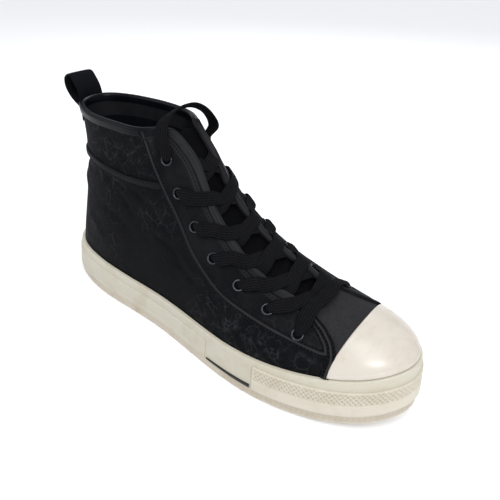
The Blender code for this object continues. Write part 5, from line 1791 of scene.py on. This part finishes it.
def edge_crossing(side, origin, across, offset):
    """The t where the throat's edge lies at an offset from a point, measured along across."""
    t = np.linspace(lines_share(THROAT_CORNER) - 0.02, 0.98, 300)
    edge = skin_raw(t, side, 1.0)
    miss = (edge - origin) @ across - offset
    signs = np.nonzero(np.diff(np.sign(miss)))[0]
    near = np.linalg.norm(edge - origin, axis=1)
    if len(signs) == 0:
        return float(t[np.argmin(np.abs(miss))])
    i = min(signs, key=lambda index: near[index])
    return float(t[i] + (t[i + 1] - t[i]) * miss[i] / (miss[i] - miss[i + 1]))


def along_wall(direction, out):
    return unit(direction - out * (direction @ out))


HALF = LACE_WIDTH / 2
# How far towards the toe a lace crosses the throat's edge, and its depth inside the wall
LACE_DROP = 0.0110
LACE_IN = -0.0031


def in_hole(spot, toward, across):
    """Rows of a lace from inside an eyelet up and over its rim, toward a direction."""
    place, axis, t, v = spot
    flat = along_wall(toward, axis)
    wide = along_wall(across, axis)
    return [(place - axis * 0.0042 + flat * 0.0010, wide, 0.0030, 1.50),
            (place - axis * 0.0020 + flat * 0.0000, wide, 0.0030, 1.50),
            (place + axis * 0.0006 + flat * 0.0002, wide, 0.0032, 1.35),
            (place + axis * 0.0025 + flat * 0.0017, wide, 0.0036, 0.90),
            (place + axis * 0.0030 + flat * 0.0040, wide, 0.0042, 0.45)]


def over_wall(side, spot, off):
    """The place above the wall beside a point of a straight line, and the outward direction."""
    t, v = find_on_skin(side, [spot[[0, 2]]], SIDE_VIEW)[0]
    out = skin_normal(t, side, v)
    return skin_raw(t, side, v) + out * off, out


def under_wall(side, crossing, spot, across):
    """Rows of a lace inside the wall, from under the throat's edge to an eyelet's hole."""
    place, axis, t, v = spot
    rows = []
    edge = skin_raw(crossing, side, 1.0)
    for share in (0.35, 0.70):
        inner, out = over_wall(side, edge + (place - edge) * share, LACE_IN)
        rows.append((inner, along_wall(across, out), HALF * 0.95, 0.05))
    rows.append((place + axis * (LACE_IN - 0.0004), along_wall(across, axis), 0.0036, 0.6))
    return rows


def down_throat(side, t, distance):
    """The t of the throat's edge a distance further towards the toe."""
    small = 1e-3
    step = np.linalg.norm(skin_raw(t + small, side, 1.0) - skin_raw(t, side, 1.0)) / small
    return float(min(t + distance / step, 0.985))


def rim_row(side, crossing, across):
    """Row of a lace where it passes over the folded edge of the throat."""
    edge, out, up = edge_frame(crossing, side)
    high = 0.0025
    lean = unit(out + up * 0.7)
    return (edge + lean * high, along_wall(across, lean), HALF, 0.16)


def band_rows(side, start, finish, raised, hidden):
    """Rows of one crossing, from an eyelet over the edge and under the other edge to the next."""
    place, axis, t, v = start
    toward = unit(finish[0] - place)
    across = unit(np.cross(toward, unit(axis + finish[1])))
    crossing = down_throat(side, edge_crossing(side, place, across, 0.0), LACE_DROP)
    other = down_throat(-side, edge_crossing(-side, place, across, 0.0), LACE_DROP * 0.6)
    if hidden:
        rows = under_wall(side, crossing, start, across)[::-1]
        edge, out, up = edge_frame(crossing, side)
        first = edge + up * 0.0026 - out * 0.0026
        rows.append((first, across, HALF, 0.05))
    else:
        rows = in_hole(start, skin_raw(crossing, side, 1.0) - place, across)
        edge = skin_raw(crossing, side, 1.0)
        reach = np.linalg.norm(edge - place)
        for distance in (0.0040 + (reach - 0.0040) * 0.42, 0.0040 + (reach - 0.0040) * 0.76):
            share = distance / reach
            spot, out = over_wall(side, place + (edge - place) * share, 0.0027)
            rows.append((spot, along_wall(across, out), HALF, 0.15))
        rows.append(rim_row(side, crossing, across))
        first = rows[-1][0]
    edge, out, up = edge_frame(other, -side)
    last = edge + up * 0.0030 - out * 0.0027
    rise = unit(axis + finish[1])
    middle = (first + last) / 2 + rise * (TONGUE_CROWN / 2 + raised)
    rows.append((middle, across, HALF, 0.10))
    rows.append((last, across, HALF, 0.05))
    rows += under_wall(-side, other, finish, across)
    return rows


def build_laces():
    total = 0.0
    medial = EYELET_SPOTS[MEDIAL]
    lateral = EYELET_SPOTS[LATERAL]
    for k in range(len(EYELETS) - 1):
        hidden = k == 0
        node = ("lace_cross_%d" % (k + 1),)
        rows = band_rows(MEDIAL, medial[k], lateral[k + 1], -0.0006, hidden)
        total += ribbon("lace_inner_%d" % (k + 1), rows, node)
        rows = band_rows(LATERAL, lateral[k], medial[k + 1], 0.0010, hidden)
        total += ribbon("lace_outer_%d" % (k + 1), rows, node)
    near = medial[-1]
    far = lateral[-1]
    toward = unit(far[0] - near[0])
    across = unit(np.cross(toward, unit(near[1] + far[1])))
    rows = in_hole(near, toward, across)
    for share in (0.30, 0.42, 0.5, 0.58, 0.66):
        flat = near[0] + (far[0] - near[0]) * share
        side = MEDIAL if flat[1] < -SHIFT else LATERAL
        t, v = find_on_skin(side, [flat[:2]], PLAN_VIEW)[0]
        out = skin_normal(t, side, v)
        spot = skin_raw(t, side, v) + out * 0.0034
        rows.append((spot, along_wall(across, out), HALF * (1.0 if share < 0.6 else 0.85), 0.10))
    rows += [(p, w, half * 0.8, curl) for p, w, half, curl in in_hole(far, -toward, across)[::-1]]
    total += ribbon("lace_front", rows, ("lace_bar",))
    near = medial[0]
    far = lateral[0]
    rows = []
    for spot in (near, far):
        wide = unit(np.cross(np.array([0.0, 0.0, 1.0]), spot[1]))
        wide = wide if wide[0] > 0 else -wide
        rows.append(in_hole(spot, np.array([0.0, 0.0, 1.0]), wide))
    arch = []
    for x, y, z, turn_x, turn_y, turn_z in TOP_LACE:
        place = np.array([x * LENGTH, y * BALL_WIDTH - SHIFT, z * COLLAR_HEIGHT])
        arch.append((place, unit([turn_x, turn_y, turn_z]), HALF, 0.15))
    total += ribbon("lace_upper", rows[0] + arch + rows[1][::-1], ("lace_top",))
    return total


def dress_cad():
    """Give each CAD node that stays its own finish."""
    for node, look in (("midsole", "outsole"), ("insole", "lining")):
        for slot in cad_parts[node].material_slots:
            slot.material = LOOKS[look]


def build_all():
    build_upper()
    rows = []
    for side in (MEDIAL, LATERAL):
        rows += build_eyestay(side)
    rows += build_front_strips()
    rows += build_ankle_band()
    stitches("upper_stitches", rows, LOOKS["thread"], "black_leather")
    build_bindings()
    build_toe_cap()
    build_tongue()
    build_eyelets()
    build_foxing()
    build_strips()
    build_outsole()
    build_pull_loop()
    print("lace length", round(build_laces(), 3))
    dress_cad()


build_all()
